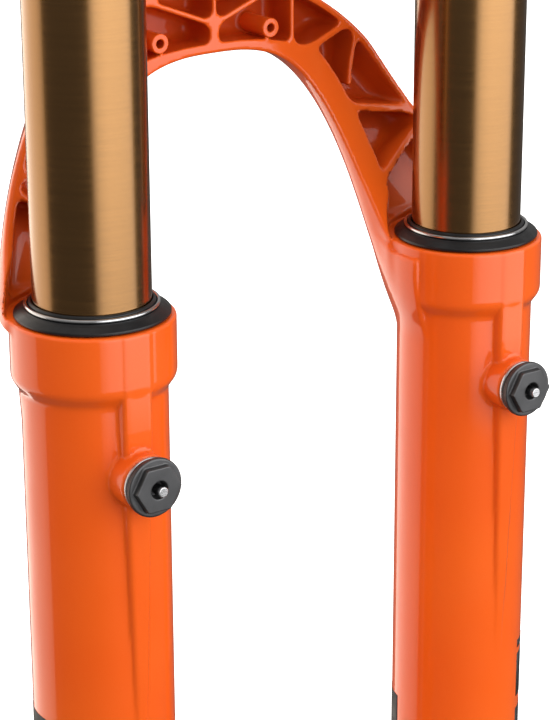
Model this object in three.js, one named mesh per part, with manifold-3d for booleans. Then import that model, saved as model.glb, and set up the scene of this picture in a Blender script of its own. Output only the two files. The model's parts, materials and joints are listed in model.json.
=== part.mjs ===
// Air-sprung bicycle suspension fork with 38 mm stanchions, 170 mm of travel and a 15 x 110 mm axle.
// Millimetres. The origin is the middle of the crown race seat, on the steerer's axis. +Z points up the
// steerer, -Y points to the front of the bicycle and +X to the rider's left, the side of the air spring
// and of the disc brake. The fork stands fully extended.
// Pieces inside a leg are drawn in that leg's own frame: its axis at x = y = 0, and z = 0 at the top of
// the lower leg's collar, where the dust wiper sits.

import * as THREE from "three";
import { mergeVertices } from "three/addons/utils/BufferGeometryUtils.js";
import Module from "manifold-3d";

const wasm = await Module();
wasm.setup();

// ---------------------------------------------------------------- driving dimensions
const LEG_X = 76.4; // each leg's axis from the mid-plane
const CROWN_OFFSET = 24; // leg axes in front of the steerer's axis
const COLLAR_Z = -255; // top of the lower legs' collars
const TRAVEL = 170;
const GAP = 0.3; // clearance between pieces that touch
const FINE = 26; // sides of the large round pieces
const PLAIN = 16; // sides of the small ones

const STANCHION_R = 19;
const STANCHION_BORE_R = 17;
const STANCHION_TOP = 241;
const STANCHION_BOTTOM = -130;

const STEERER_TOP = 254;
const STEERER_R = 14.3;
const STEERER_BASE_R = 19.9;
const STEERER_BORE_R = 12;

const CROWN_UNDERSIDE = -59;
const RACE_SEAT_R = 26;
const CROWN_MIDDLE_BOTTOM = -50;
const CROWN_END_TOP = -14;

const LEG_R = 23.65;
const LEG_BORE_R = 20.6;
const COLLAR_R = 26.6;
const COLLAR_HEIGHT = 21;
const WIPER_SEAT_R = 22.5;
const WIPER_SEAT_DEPTH = 21.5;
const LEG_FLOOR = -314;
const LEG_FOOT = -349;
const FOOT_SEAT = -332; // where the foot nuts' washers bear

const AXLE_AHEAD = 20; // axle in front of the leg axes
const AXLE_DROP = -329;
const AXLE_R = 7.5;
const AXLE_HEAD_R = 9.8;
const HUB_HALF_WIDTH = 55;
const LUG_OUTER_X = 84;
const LUG_R = 14;
const SLEEVE_R = 10;

const BLEED_Z = -48;
const BLEED_BOSS_R = 9.3;
const BLEED_BOSS_FACE = 30.5;

const BRAKE_POST_X = 60;
const BRAKE_POST_FACE = 32;
const BRAKE_POST_LOW = -296;
const BRAKE_POST_SPACING = 74.2;

const SHAFT_R = 5; // air shaft and damper rod
const AIR_TUBE_R = 16.6;
const DAMPER_TUBE_R = 14.5;

// ---------------------------------------------------------------- finishes
const FINISHES = {
  paint: { color: 0xf2601c, roughness: 0.22, metalness: 0 },
  gold: { color: 0x9a6a35, roughness: 0.25, metalness: 1 },
  black_anodised: { color: 0x17181a, roughness: 0.35, metalness: 0.8 },
  aluminium: { color: 0xb9bcc0, roughness: 0.3, metalness: 1 },
  steel: { color: 0xc9ccd0, roughness: 0.25, metalness: 1 },
  brass: { color: 0xb08d4a, roughness: 0.35, metalness: 1 },
  rubber: { color: 0x141414, roughness: 0.7, metalness: 0 },
  plastic: { color: 0x1c1c1e, roughness: 0.5, metalness: 0 },
  blue_anodised: { color: 0x2a5fb0, roughness: 0.3, metalness: 0.9 },
  red_anodised: { color: 0xb0201c, roughness: 0.3, metalness: 0.9 },
  foam: { color: 0x3a3a3c, roughness: 0.95, metalness: 0 },
  bushing: { color: 0x8c7a52, roughness: 0.5, metalness: 0.6 },
};

const material = {};
for (const [name, look] of Object.entries(FINISHES)) {
  material[name] = new THREE.MeshStandardMaterial(look);
}

// ---------------------------------------------------------------- solids
/** A geometry's shared vertices merged, with the triangles that collapse on an axis left out. */
function welded(geometry) {
  const bare = geometry.clone();
  bare.deleteAttribute("normal");
  bare.deleteAttribute("uv");
  const merged = mergeVertices(bare, 1e-4);
  const corners = merged.index.array;
  const kept = [];
  for (let i = 0; i < corners.length; i += 3) {
    const [a, b, c] = [corners[i], corners[i + 1], corners[i + 2]];
    if (a !== b && b !== c && c !== a) kept.push(a, b, c);
  }
  return { positions: new Float32Array(merged.attributes.position.array), corners: kept };
}

function signedVolume(positions, corners) {
  const [a, b, c] = [new THREE.Vector3(), new THREE.Vector3(), new THREE.Vector3()];
  let volume = 0;
  for (let i = 0; i < corners.length; i += 3) {
    a.fromArray(positions, 3 * corners[i]);
    b.fromArray(positions, 3 * corners[i + 1]);
    c.fromArray(positions, 3 * corners[i + 2]);
    volume += a.dot(b.cross(c)) / 6;
  }
  return volume;
}

/** The geometry as a solid for joining and cutting, with its faces turned outwards. */
function toSolid(geometry) {
  const { positions, corners } = welded(geometry);
  if (signedVolume(positions, corners) < 0) corners.reverse();
  const mesh = new wasm.Mesh({
    numProp: 3,
    vertProperties: positions,
    triVerts: new Uint32Array(corners),
  });
  return new wasm.Manifold(mesh);
}

function toGeometry(solid) {
  const mesh = solid.getMesh();
  const geometry = new THREE.BufferGeometry();
  geometry.setAttribute("position", new THREE.BufferAttribute(new Float32Array(mesh.vertProperties), 3));
  geometry.setIndex(new THREE.BufferAttribute(new Uint32Array(mesh.triVerts), 1));
  geometry.computeVertexNormals();
  return geometry;
}

function join(...geometries) {
  const [first, ...rest] = geometries.map(toSolid);
  return toGeometry(rest.reduce((whole, next) => whole.add(next), first));
}

function common(one, other) {
  return toGeometry(toSolid(one).intersect(toSolid(other)));
}

function cut(base, ...tools) {
  return toGeometry(tools.reduce((left, tool) => left.subtract(toSolid(tool)), toSolid(base)));
}

/** A closed outline of [radius, height] points turned about Z. */
function turned(outline, segments = PLAIN) {
  const points = outline.map(([radius, height]) => new THREE.Vector2(radius, height));
  const onAxis = outline[0][0] === 0 && outline.at(-1)[0] === 0;
  if (!onAxis) points.push(points[0].clone());
  return new THREE.LatheGeometry(points, segments).rotateX(Math.PI / 2);
}

function tube(outerR, innerR, low, high, segments = PLAIN) {
  return turned([[innerR, low], [outerR, low], [outerR, high], [innerR, high]], segments);
}

function rod(radius, low, high, segments = PLAIN) {
  return turned([[0, low], [radius, low], [radius, high], [0, high]], segments);
}

/** A hexagonal bar along Z, measured across its flats. */
function hexagon(acrossFlats, low, high) {
  return rod(acrossFlats / Math.sqrt(3), low, high, 6);
}

/** Turns a piece drawn along +Z so that it points along +Y. */
function pointBack(geometry) {
  return geometry.rotateX(-Math.PI / 2);
}

/** Turns a piece drawn along +Z so that it points along +X. */
function pointLeft(geometry) {
  return geometry.rotateY(Math.PI / 2);
}

/** The outline round two circles, with straight sides between them. */
function bandShape(centreA, radiusA, centreB, radiusB) {
  const towards = Math.atan2(centreB[1] - centreA[1], centreB[0] - centreA[0]);
  const apart = Math.hypot(centreB[0] - centreA[0], centreB[1] - centreA[1]);
  const lean = Math.acos((radiusA - radiusB) / apart);
  const shape = new THREE.Shape();
  shape.absarc(centreA[0], centreA[1], radiusA, towards + lean, towards - lean + 2 * Math.PI);
  shape.absarc(centreB[0], centreB[1], radiusB, towards - lean, towards + lean);
  shape.closePath();
  return shape;
}

function extruded(shape, depth, curveSegments = 5) {
  return new THREE.ExtrudeGeometry(shape, { depth, bevelEnabled: false, curveSegments });
}

/** A prism of an outline in the YZ plane. */
function alongX(shape, low, high) {
  const prism = extruded(shape, high - low);
  return prism.rotateX(Math.PI / 2).rotateZ(Math.PI / 2).translate(low, 0, 0);
}

/** A prism of an outline in the XZ plane. */
function alongY(shape, low, high) {
  return extruded(shape, high - low).rotateX(Math.PI / 2).translate(0, high, 0);
}

function polygon(corners) {
  return new THREE.Shape(corners.map(([x, y]) => new THREE.Vector2(x, y)));
}

/** The corners of a regular polygon about a centre. */
function ringOf(count, radius, centre = [0, 0]) {
  const corners = [];
  for (let i = 0; i < count; i += 1) {
    const angle = (2 * Math.PI * i) / count;
    corners.push([centre[0] + radius * Math.cos(angle), centre[1] + radius * Math.sin(angle)]);
  }
  return corners;
}

/** A disc with shallow grip flutes round its edge. */
function knurled(radius, teeth, depth, low, high) {
  const corners = [];
  for (let i = 0; i < 2 * teeth; i += 1) {
    const reach = i % 2 ? radius : radius - depth;
    const angle = (Math.PI * i) / teeth;
    corners.push([reach * Math.cos(angle), reach * Math.sin(angle)]);
  }
  return extruded(polygon(corners), high - low).translate(0, 0, low);
}

// ---------------------------------------------------------------- scene graph
const fork = new THREE.Group();
const legs = {};
for (const [side, sign] of [["left", 1], ["right", -1]]) {
  legs[side] = new THREE.Group();
  legs[side].position.set(sign * LEG_X, -CROWN_OFFSET, COLLAR_Z);
  fork.add(legs[side]);
}
const lowers = new THREE.Group(); // the legs' common plane, at the collars' height
lowers.position.set(0, -CROWN_OFFSET, COLLAR_Z);
fork.add(lowers);

function place(parent, name, geometry, finish) {
  const mesh = new THREE.Mesh(toGeometry(toSolid(geometry)), material[finish]);
  mesh.name = name;
  parent.add(mesh);
}

// ---------------------------------------------------------------- steerer and crown
const STEERER_TAPER_TOP = 95;
const STEERER_TAPER_BASE = 22;
const STEERER_BASE_BORE_R = 16.2;

function steererTube() {
  return turned([
    [STEERER_BASE_R, CROWN_MIDDLE_BOTTOM + 1],
    [STEERER_BASE_R, STEERER_TAPER_BASE],
    [STEERER_R, STEERER_TAPER_TOP],
    [STEERER_R, STEERER_TOP - 1],
    [STEERER_R - 0.8, STEERER_TOP],
    [STEERER_BORE_R, STEERER_TOP],
    [STEERER_BORE_R, STEERER_TAPER_TOP],
    [STEERER_BASE_BORE_R, STEERER_TAPER_BASE],
    [STEERER_BASE_BORE_R, CROWN_MIDDLE_BOTTOM + 1],
  ], FINE);
}

const CROWN_END_R = 24.6;
const CROWN_ARM_TOP = -6;
const CROWN_ARM_BOTTOM = CROWN_UNDERSIDE + 6;
const CROWN_ARM_INNER_R = 23.5; // half the arm's width by the steerer
const CROWN_ARM_OUTER_R = 20; // and by the leg
const CROWN_ARM_LIFT = 8; // how far the arm's underside rises towards the steerer
const POCKET_R = 10.5; // the lightening pockets under the arms
const POCKET_ENDS = [[37, -10], [44, -13]];
const POCKET_DEPTH = 25;

/** One arm of the crown, its top falling from the race seat to the leg. */
function crownArm(sign) {
  const plan = bandShape([0, -1], CROWN_ARM_INNER_R, [sign * LEG_X, -CROWN_OFFSET], CROWN_ARM_OUTER_R);
  const arm = extruded(plan, CROWN_ARM_TOP - CROWN_ARM_BOTTOM).translate(0, 0, CROWN_ARM_BOTTOM);
  const corners = arm.attributes.position;
  for (let i = 0; i < corners.count; i += 1) {
    const outward = Math.min(1, Math.abs(corners.getX(i)) / LEG_X);
    const onTop = corners.getZ(i) > CROWN_UNDERSIDE + 10;
    const fall = onTop ? (CROWN_ARM_TOP - CROWN_END_TOP + 3) * outward : 0;
    const lift = onTop ? 0 : CROWN_ARM_LIFT * (1 - outward);
    corners.setZ(i, corners.getZ(i) - fall + lift);
  }
  return arm;
}

function crownSolid() {
  const bosses = [turned([
    [0, CROWN_MIDDLE_BOTTOM], [RACE_SEAT_R - 3, CROWN_MIDDLE_BOTTOM], [RACE_SEAT_R, CROWN_MIDDLE_BOTTOM + 5],
    [RACE_SEAT_R, 0], [0, 0],
  ], FINE)];
  const bores = [rod(STEERER_BASE_R + GAP, CROWN_UNDERSIDE, 5, FINE)];
  const pockets = [];
  for (const sign of [1, -1]) {
    const boss = turned([
      [0, CROWN_UNDERSIDE], [CROWN_END_R - 1.2, CROWN_UNDERSIDE], [CROWN_END_R, CROWN_UNDERSIDE + 1.5],
      [CROWN_END_R, CROWN_END_TOP - 2], [CROWN_END_R - 1.5, CROWN_END_TOP], [0, CROWN_END_TOP],
    ], FINE);
    bosses.push(boss.translate(sign * LEG_X, -CROWN_OFFSET, 0), crownArm(sign));
    const bore = rod(STANCHION_R + GAP, CROWN_UNDERSIDE - 2, CROWN_END_TOP + 2, FINE);
    bores.push(bore.translate(sign * LEG_X, -CROWN_OFFSET, 0));
    const [inner, outer] = POCKET_ENDS.map(([x, y]) => [sign * x, y]);
    const hollow = extruded(bandShape(inner, POCKET_R, outer, POCKET_R), POCKET_DEPTH + 2);
    pockets.push(hollow.translate(0, 0, CROWN_UNDERSIDE - 2));
  }
  return cut(join(...bosses), ...bores, ...pockets);
}

place(fork, "steerer_tube", steererTube(), "black_anodised");
place(fork, "crown", crownSolid(), "black_anodised");
for (const side of ["left", "right"]) {
  const stanchion = tube(STANCHION_R, STANCHION_BORE_R, STANCHION_BOTTOM, STANCHION_TOP, FINE);
  place(legs[side], `stanchion_${side}`, stanchion, "gold");
}

// ---------------------------------------------------------------- top caps, air valve and compression knobs
const CAP_FLANGE_TOP = STANCHION_TOP + 3.2;
const CAP_PLUG_R = STANCHION_BORE_R - GAP;
const CAP_PLUG_BOTTOM = 222;
const CAP_NECK_R = 11;
const VALVE_R = 3.9;

/** A screw-in cap: threaded plug, flange and neck, with a bore through its middle. */
function topCap(neckTop, boreR) {
  return turned([
    [boreR, CAP_PLUG_BOTTOM], [CAP_PLUG_R, CAP_PLUG_BOTTOM], [CAP_PLUG_R, STANCHION_TOP + GAP],
    [STANCHION_R - 0.4, STANCHION_TOP + GAP], [STANCHION_R - 0.4, CAP_FLANGE_TOP - 0.8],
    [STANCHION_R - 1.2, CAP_FLANGE_TOP], [CAP_NECK_R, CAP_FLANGE_TOP], [CAP_NECK_R, neckTop],
    [boreR, neckTop],
  ], FINE);
}

const AIR_NECK_TOP = 252;
const AIR_CAP_TOP = 258.5;
const AIR_CAP_R = 14;

function airCap() {
  const skirt = knurled(AIR_CAP_R, 24, 0.7, CAP_FLANGE_TOP + 2.2, AIR_CAP_TOP - 1);
  const crownOfCap = rod(AIR_CAP_R - 1.4, AIR_CAP_TOP - 2, AIR_CAP_TOP, FINE);
  const hollow = rod(CAP_NECK_R + GAP, CAP_FLANGE_TOP, AIR_CAP_TOP - 3, FINE);
  return cut(join(skirt, crownOfCap), hollow);
}

place(legs.left, "air_top_cap", topCap(AIR_NECK_TOP, VALVE_R + GAP), "black_anodised");
place(legs.left, "air_valve_stem", tube(VALVE_R, 2.6, CAP_PLUG_BOTTOM + 6, AIR_NECK_TOP + 2, 16), "brass");
place(legs.left, "air_valve_pin", rod(2.2, CAP_PLUG_BOTTOM + 12, AIR_NECK_TOP + 2.6, 12), "brass");
place(legs.left, "air_cap", airCap(), "blue_anodised");
const airCapOring = turned(ringOf(6, 0.85, [12.4, CAP_FLANGE_TOP + 1.2]), FINE);
place(legs.left, "air_cap_oring", airCapOring, "rubber");

const DAMPER_NECK_TOP = 246.5;
const HIGH_KNOB_R = 15;
const HIGH_KNOB_TOP = 254;
const LOW_KNOB_R = 9.5;
const LOW_KNOB_TOP = 260.5;
const NEEDLE_R = 2;

/** The outer, high-speed knob: a knurled ring with a skirt over the cap's neck. */
function highSpeedKnob() {
  const ring = knurled(HIGH_KNOB_R, 20, 0.9, CAP_FLANGE_TOP + 0.6, HIGH_KNOB_TOP);
  const hollow = turned([
    [0, CAP_FLANGE_TOP], [CAP_NECK_R + GAP, CAP_FLANGE_TOP], [CAP_NECK_R + GAP, DAMPER_NECK_TOP + GAP],
    [NEEDLE_R + GAP, DAMPER_NECK_TOP + GAP], [NEEDLE_R + GAP, HIGH_KNOB_TOP + 1], [0, HIGH_KNOB_TOP + 1],
  ], FINE);
  return cut(ring, hollow);
}

const BASE_VALVE_BOTTOM = 140;
const BASE_VALVE_HEAD = 12;
const BASE_VALVE_STEM_R = 5;

/** The inner, low-speed knob, in one piece with the needle that it turns. */
function lowSpeedKnob() {
  return join(
    knurled(LOW_KNOB_R, 16, 0.8, HIGH_KNOB_TOP + GAP, LOW_KNOB_TOP),
    rod(NEEDLE_R, BASE_VALVE_BOTTOM + 6, LOW_KNOB_TOP - 2, 12),
  );
}

place(legs.right, "damper_top_cap", topCap(DAMPER_NECK_TOP, NEEDLE_R + GAP), "black_anodised");
place(legs.right, "high_speed_compression_knob", highSpeedKnob(), "blue_anodised");
place(legs.right, "low_speed_compression_knob", lowSpeedKnob(), "black_anodised");

// ---------------------------------------------------------------- air spring
const SEAL_HEAD_TOP = STANCHION_BOTTOM + 14;
const SPACER_PITCH = 15;
const PISTON_BOTTOM = SEAL_HEAD_TOP + 16;
const AIR_TUBE_TOP = PISTON_BOTTOM + TRAVEL + 20;
const SEAL_HEAD_FLANGE = 2.5;
const TOP_OUT_LENGTH = 10.7;
const SHAFT_BOTTOM = FOOT_SEAT - 6;
const AIR_PISTON_R = 14.6;
const SPACER_R = 15;
const SPACER_LENGTH = 13.5;
const BUMPER_TOP = STANCHION_BOTTOM - SEAL_HEAD_FLANGE - TRAVEL - GAP; // where the seal head stops

function volumeSpacer(top) {
  return turned([
    [0, top], [SPACER_R, top], [SPACER_R, top - SPACER_LENGTH], [SPACER_R - 2, top - SPACER_LENGTH],
    [SPACER_R - 2, top - 2.5], [0, top - 2.5],
  ]);
}

/** The plug that closes the stanchion's lower end round a sliding shaft. */
function sealHead() {
  const [bottom, seat] = [STANCHION_BOTTOM - SEAL_HEAD_FLANGE, STANCHION_BOTTOM - GAP];
  return turned([
    [SHAFT_R + GAP, bottom], [STANCHION_R - 0.4, bottom], [STANCHION_R - 0.4, seat], [CAP_PLUG_R, seat],
    [CAP_PLUG_R, SEAL_HEAD_TOP], [SHAFT_R + GAP, SEAL_HEAD_TOP],
  ]);
}

/** The rod that is bolted to the bottom of a leg and carries the piston, with a bore up its middle. */
function hollowShaft(boreR, boreTop) {
  return cut(rod(SHAFT_R, SHAFT_BOTTOM, PISTON_BOTTOM), rod(boreR, SHAFT_BOTTOM - 1, boreTop));
}

function airPiston() {
  return turned([
    [0, PISTON_BOTTOM + GAP], [12, PISTON_BOTTOM + GAP], [AIR_PISTON_R, PISTON_BOTTOM + 2],
    [AIR_PISTON_R, PISTON_BOTTOM + 5], [13.4, PISTON_BOTTOM + 5.4], [13.4, PISTON_BOTTOM + 8.6],
    [AIR_PISTON_R, PISTON_BOTTOM + 9], [AIR_PISTON_R, PISTON_BOTTOM + 13], [0, PISTON_BOTTOM + 13],
  ]);
}

const pistonRing = tube(14.9, 13.7, PISTON_BOTTOM + 5.8, PISTON_BOTTOM + 8.2);
const airTube = tube(AIR_TUBE_R, 15.2, SEAL_HEAD_TOP + GAP, AIR_TUBE_TOP, FINE);

for (let i = 0; i < 2; i += 1) {
  const spacer = volumeSpacer(CAP_PLUG_BOTTOM - GAP - SPACER_PITCH * i);
  place(legs.left, `volume_spacer_${i + 1}`, spacer, "plastic");
}
place(legs.left, "air_tube", airTube, "aluminium");
place(legs.left, "air_seal_head", sealHead(), "aluminium");
place(legs.left, "air_shaft", hollowShaft(3.2, PISTON_BOTTOM - 6), "aluminium");
place(legs.left, "air_piston", airPiston(), "aluminium");
place(legs.left, "air_piston_seal", pistonRing, "rubber");
const topOutBumper = tube(9.5, SHAFT_R + GAP, PISTON_BOTTOM - GAP - TOP_OUT_LENGTH, PISTON_BOTTOM - GAP);
const bottomOutBumper = turned([
  [SHAFT_R + GAP, LEG_FLOOR + GAP], [13, LEG_FLOOR + GAP], [13, LEG_FLOOR + 3], [10, LEG_FLOOR + 6],
  [9, BUMPER_TOP], [SHAFT_R + GAP, BUMPER_TOP],
]);
place(legs.left, "top_out_bumper", topOutBumper, "rubber");
place(legs.left, "bottom_out_bumper", bottomOutBumper, "rubber");

// ---------------------------------------------------------------- damper
const DAMPER_TUBE_BORE_R = 13.3;
const FLOATING_PISTON_LOW = 160;
const FLOATING_PISTON_HIGH = 170;
const IFP_SPRING_TURNS = 5;
const IFP_SPRING_R = 8.2;
const IFP_WIRE_R = 1;

function baseValve() {
  return turned([
    [NEEDLE_R + GAP, BASE_VALVE_BOTTOM], [DAMPER_TUBE_BORE_R - GAP, BASE_VALVE_BOTTOM],
    [DAMPER_TUBE_BORE_R - GAP, BASE_VALVE_BOTTOM + BASE_VALVE_HEAD],
    [BASE_VALVE_STEM_R, BASE_VALVE_BOTTOM + BASE_VALVE_HEAD], [BASE_VALVE_STEM_R, CAP_PLUG_BOTTOM - GAP],
    [NEEDLE_R + GAP, CAP_PLUG_BOTTOM - GAP],
  ]);
}

class Helix extends THREE.Curve {
  constructor(radius, low, high, turns) {
    super();
    Object.assign(this, { radius, low, high, turns });
  }

  getPoint(t, target = new THREE.Vector3()) {
    const angle = 2 * Math.PI * this.turns * t;
    const height = this.low + (this.high - this.low) * t;
    return target.set(this.radius * Math.cos(angle), this.radius * Math.sin(angle), height);
  }
}

function coilSpring(radius, wireR, low, high, turns, stepsPerTurn) {
  const section = polygon(ringOf(5, wireR));
  return new THREE.ExtrudeGeometry(section, {
    extrudePath: new Helix(radius, low, high, turns),
    steps: turns * stepsPerTurn,
    bevelEnabled: false,
  });
}

function reboundPiston() {
  return turned([
    [0, PISTON_BOTTOM + GAP], [10, PISTON_BOTTOM + GAP], [12.9, PISTON_BOTTOM + 3],
    [12.9, PISTON_BOTTOM + 11], [9, PISTON_BOTTOM + 13], [0, PISTON_BOTTOM + 13],
  ]);
}

const ROD_BORE_R = 3.4;
const METERING_ROD_R = 1.5;
const floatingPiston = tube(
  DAMPER_TUBE_BORE_R - GAP, BASE_VALVE_STEM_R + GAP, FLOATING_PISTON_LOW, FLOATING_PISTON_HIGH,
);
const floatingSpring = coilSpring(
  IFP_SPRING_R, IFP_WIRE_R, FLOATING_PISTON_HIGH + IFP_WIRE_R + GAP, CAP_PLUG_BOTTOM - IFP_WIRE_R - GAP,
  IFP_SPRING_TURNS, 10,
);
const damperTube = tube(
  DAMPER_TUBE_R, DAMPER_TUBE_BORE_R, SEAL_HEAD_TOP + GAP, CAP_PLUG_BOTTOM - GAP, 32,
);
const damperRod = hollowShaft(ROD_BORE_R, PISTON_BOTTOM - 4);

place(legs.right, "damper_tube", damperTube, "aluminium");
place(legs.right, "base_valve", baseValve(), "aluminium");
place(legs.right, "damper_floating_piston", floatingPiston, "aluminium");
place(legs.right, "floating_piston_spring", floatingSpring, "steel");
place(legs.right, "damper_seal_head", sealHead(), "aluminium");
place(legs.right, "damper_rod", damperRod, "steel");
place(legs.right, "rebound_piston", reboundPiston(), "aluminium");

// ---------------------------------------------------------------- lower-leg casting
const ARCH_APEX = 95.5;
const ARCH_INNER_TOP = 66.4;
const ARCH_INNER_HALF = 50;
const ARCH_INNER_POWER = 2.75;
const ARCH_REAR_Y = -42;
const ARCH_FOOT_REAR_Y = -10;
const ARCH_FRONT_Y = -61;
const ARCH_FRONT_LOW = -30;
const ARCH_FRONT_LOW_Y = -12;
const ARCH_STRAIGHT_Z = 60;
const ARCH_WALL = 0.24; // front wall, as a share of the arch's depth
const LEAN_STATIONS = [-36, 0, 9, 19, 30, 44, 60, 98];
const RIM = 2.4; // thickness of the outer edge
const FLANGE = 3.6; // and of the inner one
const FENDER_POST_X = 22.5;
const FENDER_POST_Z = 72.5;
const FENDER_POST_LENGTH = 17;

/** The arch's rear face: upright at the top, and swept back round each collar at its feet. */
function archRear(z) {
  const down = Math.min(1, Math.max(0, (ARCH_STRAIGHT_Z - z) / ARCH_STRAIGHT_Z));
  return ARCH_REAR_Y + (ARCH_FOOT_REAR_Y - ARCH_REAR_Y) * down ** 1.7;
}

/** The arch's front face: it rises forward from the legs and stands upright at the top. */
function archFront(z) {
  const up = Math.min(1, Math.max(0, (z - ARCH_FRONT_LOW) / (ARCH_STRAIGHT_Z - ARCH_FRONT_LOW)));
  return ARCH_FRONT_LOW_Y + (ARCH_FRONT_Y - ARCH_FRONT_LOW_Y) * up;
}

/** The side view of a surface in the arch, at depth 0 on its front face to 1 on its rear face. */
function archProfile(depth) {
  return LEAN_STATIONS.map((z) => [archFront(z) + (archRear(z) - archFront(z)) * depth, z]);
}

/** The arch's leaning thickness between two depths, as wide as the fork. */
function archSlab(from, to) {
  const reach = LEG_X + COLLAR_R + 5;
  return alongX(polygon([...archProfile(from), ...archProfile(to).reverse()]), -reach, reach);
}

/** The part of that thickness that lies behind an outline in the XZ plane. */
function archPrism(shape, from, to) {
  return common(alongY(shape, ARCH_FRONT_Y - 5, 60), archSlab(from, to));
}

/** Half of the arch's inner edge, from the foot to the middle, moved outwards by a wall thickness. */
function innerEdge(wall, points = 11) {
  const edge = [];
  for (let i = 0; i <= points; i += 1) {
    const angle = (Math.PI / 2) * (i / points);
    const x = (ARCH_INNER_HALF + wall) * Math.cos(angle) ** (2 / ARCH_INNER_POWER);
    const z = (ARCH_INNER_TOP + wall) * Math.sin(angle) ** (2 / ARCH_INNER_POWER);
    edge.push([x, z]);
  }
  return edge;
}

/** Half of the arch's outer edge, from the middle to the foot, moved inwards by a rim thickness. */
function outerEdge(rim, points = 10) {
  const curve = new THREE.SplineCurve([
    [0, ARCH_APEX - rim], [24, 89 - rim], [46 - rim * 0.4, 79 - rim], [60.5 - rim * 0.7, 68 - rim * 0.8],
    [73.5 - rim * 0.8, 54 - rim * 0.6], [81.8 - rim, 40], [89.9 - rim, 27], [96.8 - rim, 11], [101 - rim, 0],
  ].map(([x, z]) => new THREE.Vector2(x, z)));
  return curve.getPoints(points).map((point) => [point.x, point.y]);
}

function mirrored(edge) {
  return edge.map(([x, z]) => [-x, z]);
}

/** The band between the arch's two edges, or the space between its rim and its inner flange. */
function archBand(wall, rim, floor) {
  const outer = outerEdge(rim);
  const inner = innerEdge(wall);
  const left = [...outer.slice(0, -1), [outer.at(-1)[0], floor]].reverse();
  const right = mirrored(outer.slice(1, -1)).concat([[-outer.at(-1)[0], floor]]);
  const back = [[-inner[0][0], floor], ...mirrored(inner.slice(1)), ...inner.slice(1, -1).reverse()];
  return polygon([...left, ...right, ...back, [inner[0][0], floor]]);
}

/** The ribs of one half: both ends in the XZ plane, thickness, and how near they come to the rear face. */
const RIBS = [
  [0, 76, 30, 88, 2.4, 0.93],
  [32.2, 64, 32.2, 86, 2.3, 0.93],
  [34, 61, 57, 72, 2.6, 0.93],
  [53.5, 46, 61.5, 66, 2.4, 0.93],
  [52, 42.5, 82, 37.5, 2.6, 0.9],
  [50, 16, 86, 36.5, 2.6, 0.45],
];

function ribSolid([x0, z0, x1, z1, thickness, reach], sign) {
  const length = Math.hypot(x1 - x0, z1 - z0);
  const [sideX, sideZ] = [(-(z1 - z0) / length) * (thickness / 2), ((x1 - x0) / length) * (thickness / 2)];
  const corners = [
    [x0 + sideX, z0 + sideZ], [x1 + sideX, z1 + sideZ], [x1 - sideX, z1 - sideZ], [x0 - sideX, z0 - sideZ],
  ];
  return archPrism(polygon(corners.map(([x, z]) => [sign * x, z])), ARCH_WALL / 2, reach);
}

/** The threaded post that a mudguard's screw goes into. */
function fenderPost(sign) {
  const post = cut(rod(3.2, 0, FENDER_POST_LENGTH, 12), rod(1.3, 4, FENDER_POST_LENGTH + 1, 8));
  const base = ARCH_REAR_Y + 0.7 - FENDER_POST_LENGTH;
  return pointBack(post).translate(sign * FENDER_POST_X, base, FENDER_POST_Z);
}

function arch() {
  const hollow = archPrism(archBand(FLANGE, RIM, 1.5), ARCH_WALL, 2.5);
  const shell = cut(archPrism(archBand(0, 0, -1), 0, 1), hollow);
  const ribs = [ribSolid([0, 68, 0, 77, 4.8, 1], 1), ribSolid([0, 75, 0, 94, 2.2, 0.97], 1)];
  for (const sign of [1, -1]) {
    for (const rib of RIBS) ribs.push(ribSolid(rib, sign));
    ribs.push(fenderPost(sign));
  }
  return join(shell, ...ribs);
}

const FOOT_OUTLINE = [[50, 2], [49.6, -9], [60, -34], [93, -34], [102.6, -9], [101.5, 2]];

/** The foot of the arch, which wraps the front half of a collar and runs out into the leg. */
function archFoot(sign) {
  return archPrism(polygon(FOOT_OUTLINE.map(([x, z]) => [sign * x, z])), 0, 1);
}

const LEG_TAPER = [
  [LEG_R, -285], [22.9, -313], [20.4, -334], [17.2, LEG_FOOT + 2], [15.8, LEG_FOOT],
];

function legBody(sign) {
  const outline = [
    [0, 0], [COLLAR_R - 0.8, 0], [COLLAR_R, -0.9], [COLLAR_R, -COLLAR_HEIGHT], [LEG_R, -COLLAR_HEIGHT - 6],
    ...LEG_TAPER, [0, LEG_FOOT],
  ];
  return turned(outline, FINE).translate(sign * LEG_X, 0, 0);
}

const RIB_LOW = -150;
const RIB_HIGH = -24;
const RIB_R = 7.5;

/** The channel cast along the back of each leg, which fades out downwards. */
function channelRib(sign) {
  const rib = turned([[0, RIB_LOW], [1.2, RIB_LOW], [RIB_R, RIB_HIGH], [0, RIB_HIGH]], 12);
  const corners = rib.attributes.position;
  for (let i = 0; i < corners.count; i += 1) {
    const up = (corners.getZ(i) - RIB_LOW) / (RIB_HIGH - RIB_LOW);
    corners.setY(i, corners.getY(i) + LEG_R - 1.4 - 4.2 * up);
  }
  return rib.translate(sign * LEG_X, 0, 0);
}

function bleedBoss(sign) {
  return pointBack(rod(BLEED_BOSS_R, 15, BLEED_BOSS_FACE)).translate(sign * LEG_X, 0, BLEED_Z);
}

/** The block between the foot of a leg and the axle in front of it. */
function dropout(sign) {
  const profile = bandShape([-AXLE_AHEAD, AXLE_DROP], LUG_R, [0, AXLE_DROP + 7], 17);
  const middle = (sign * (HUB_HALF_WIDTH + LUG_OUTER_X)) / 2;
  const half = (LUG_OUTER_X - HUB_HALF_WIDTH) / 2;
  return alongX(profile, middle - half, middle + half);
}

const PINCH_Y = -AXLE_AHEAD + 0.5;
const PINCH_Z = AXLE_DROP - 15.5;
const PINCH_X = -70;
const PINCH_LUG_R = 6.5;
const PINCH_LUG_HALF = 8.5;
const PINCH_SLIT = 1.6;

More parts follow.
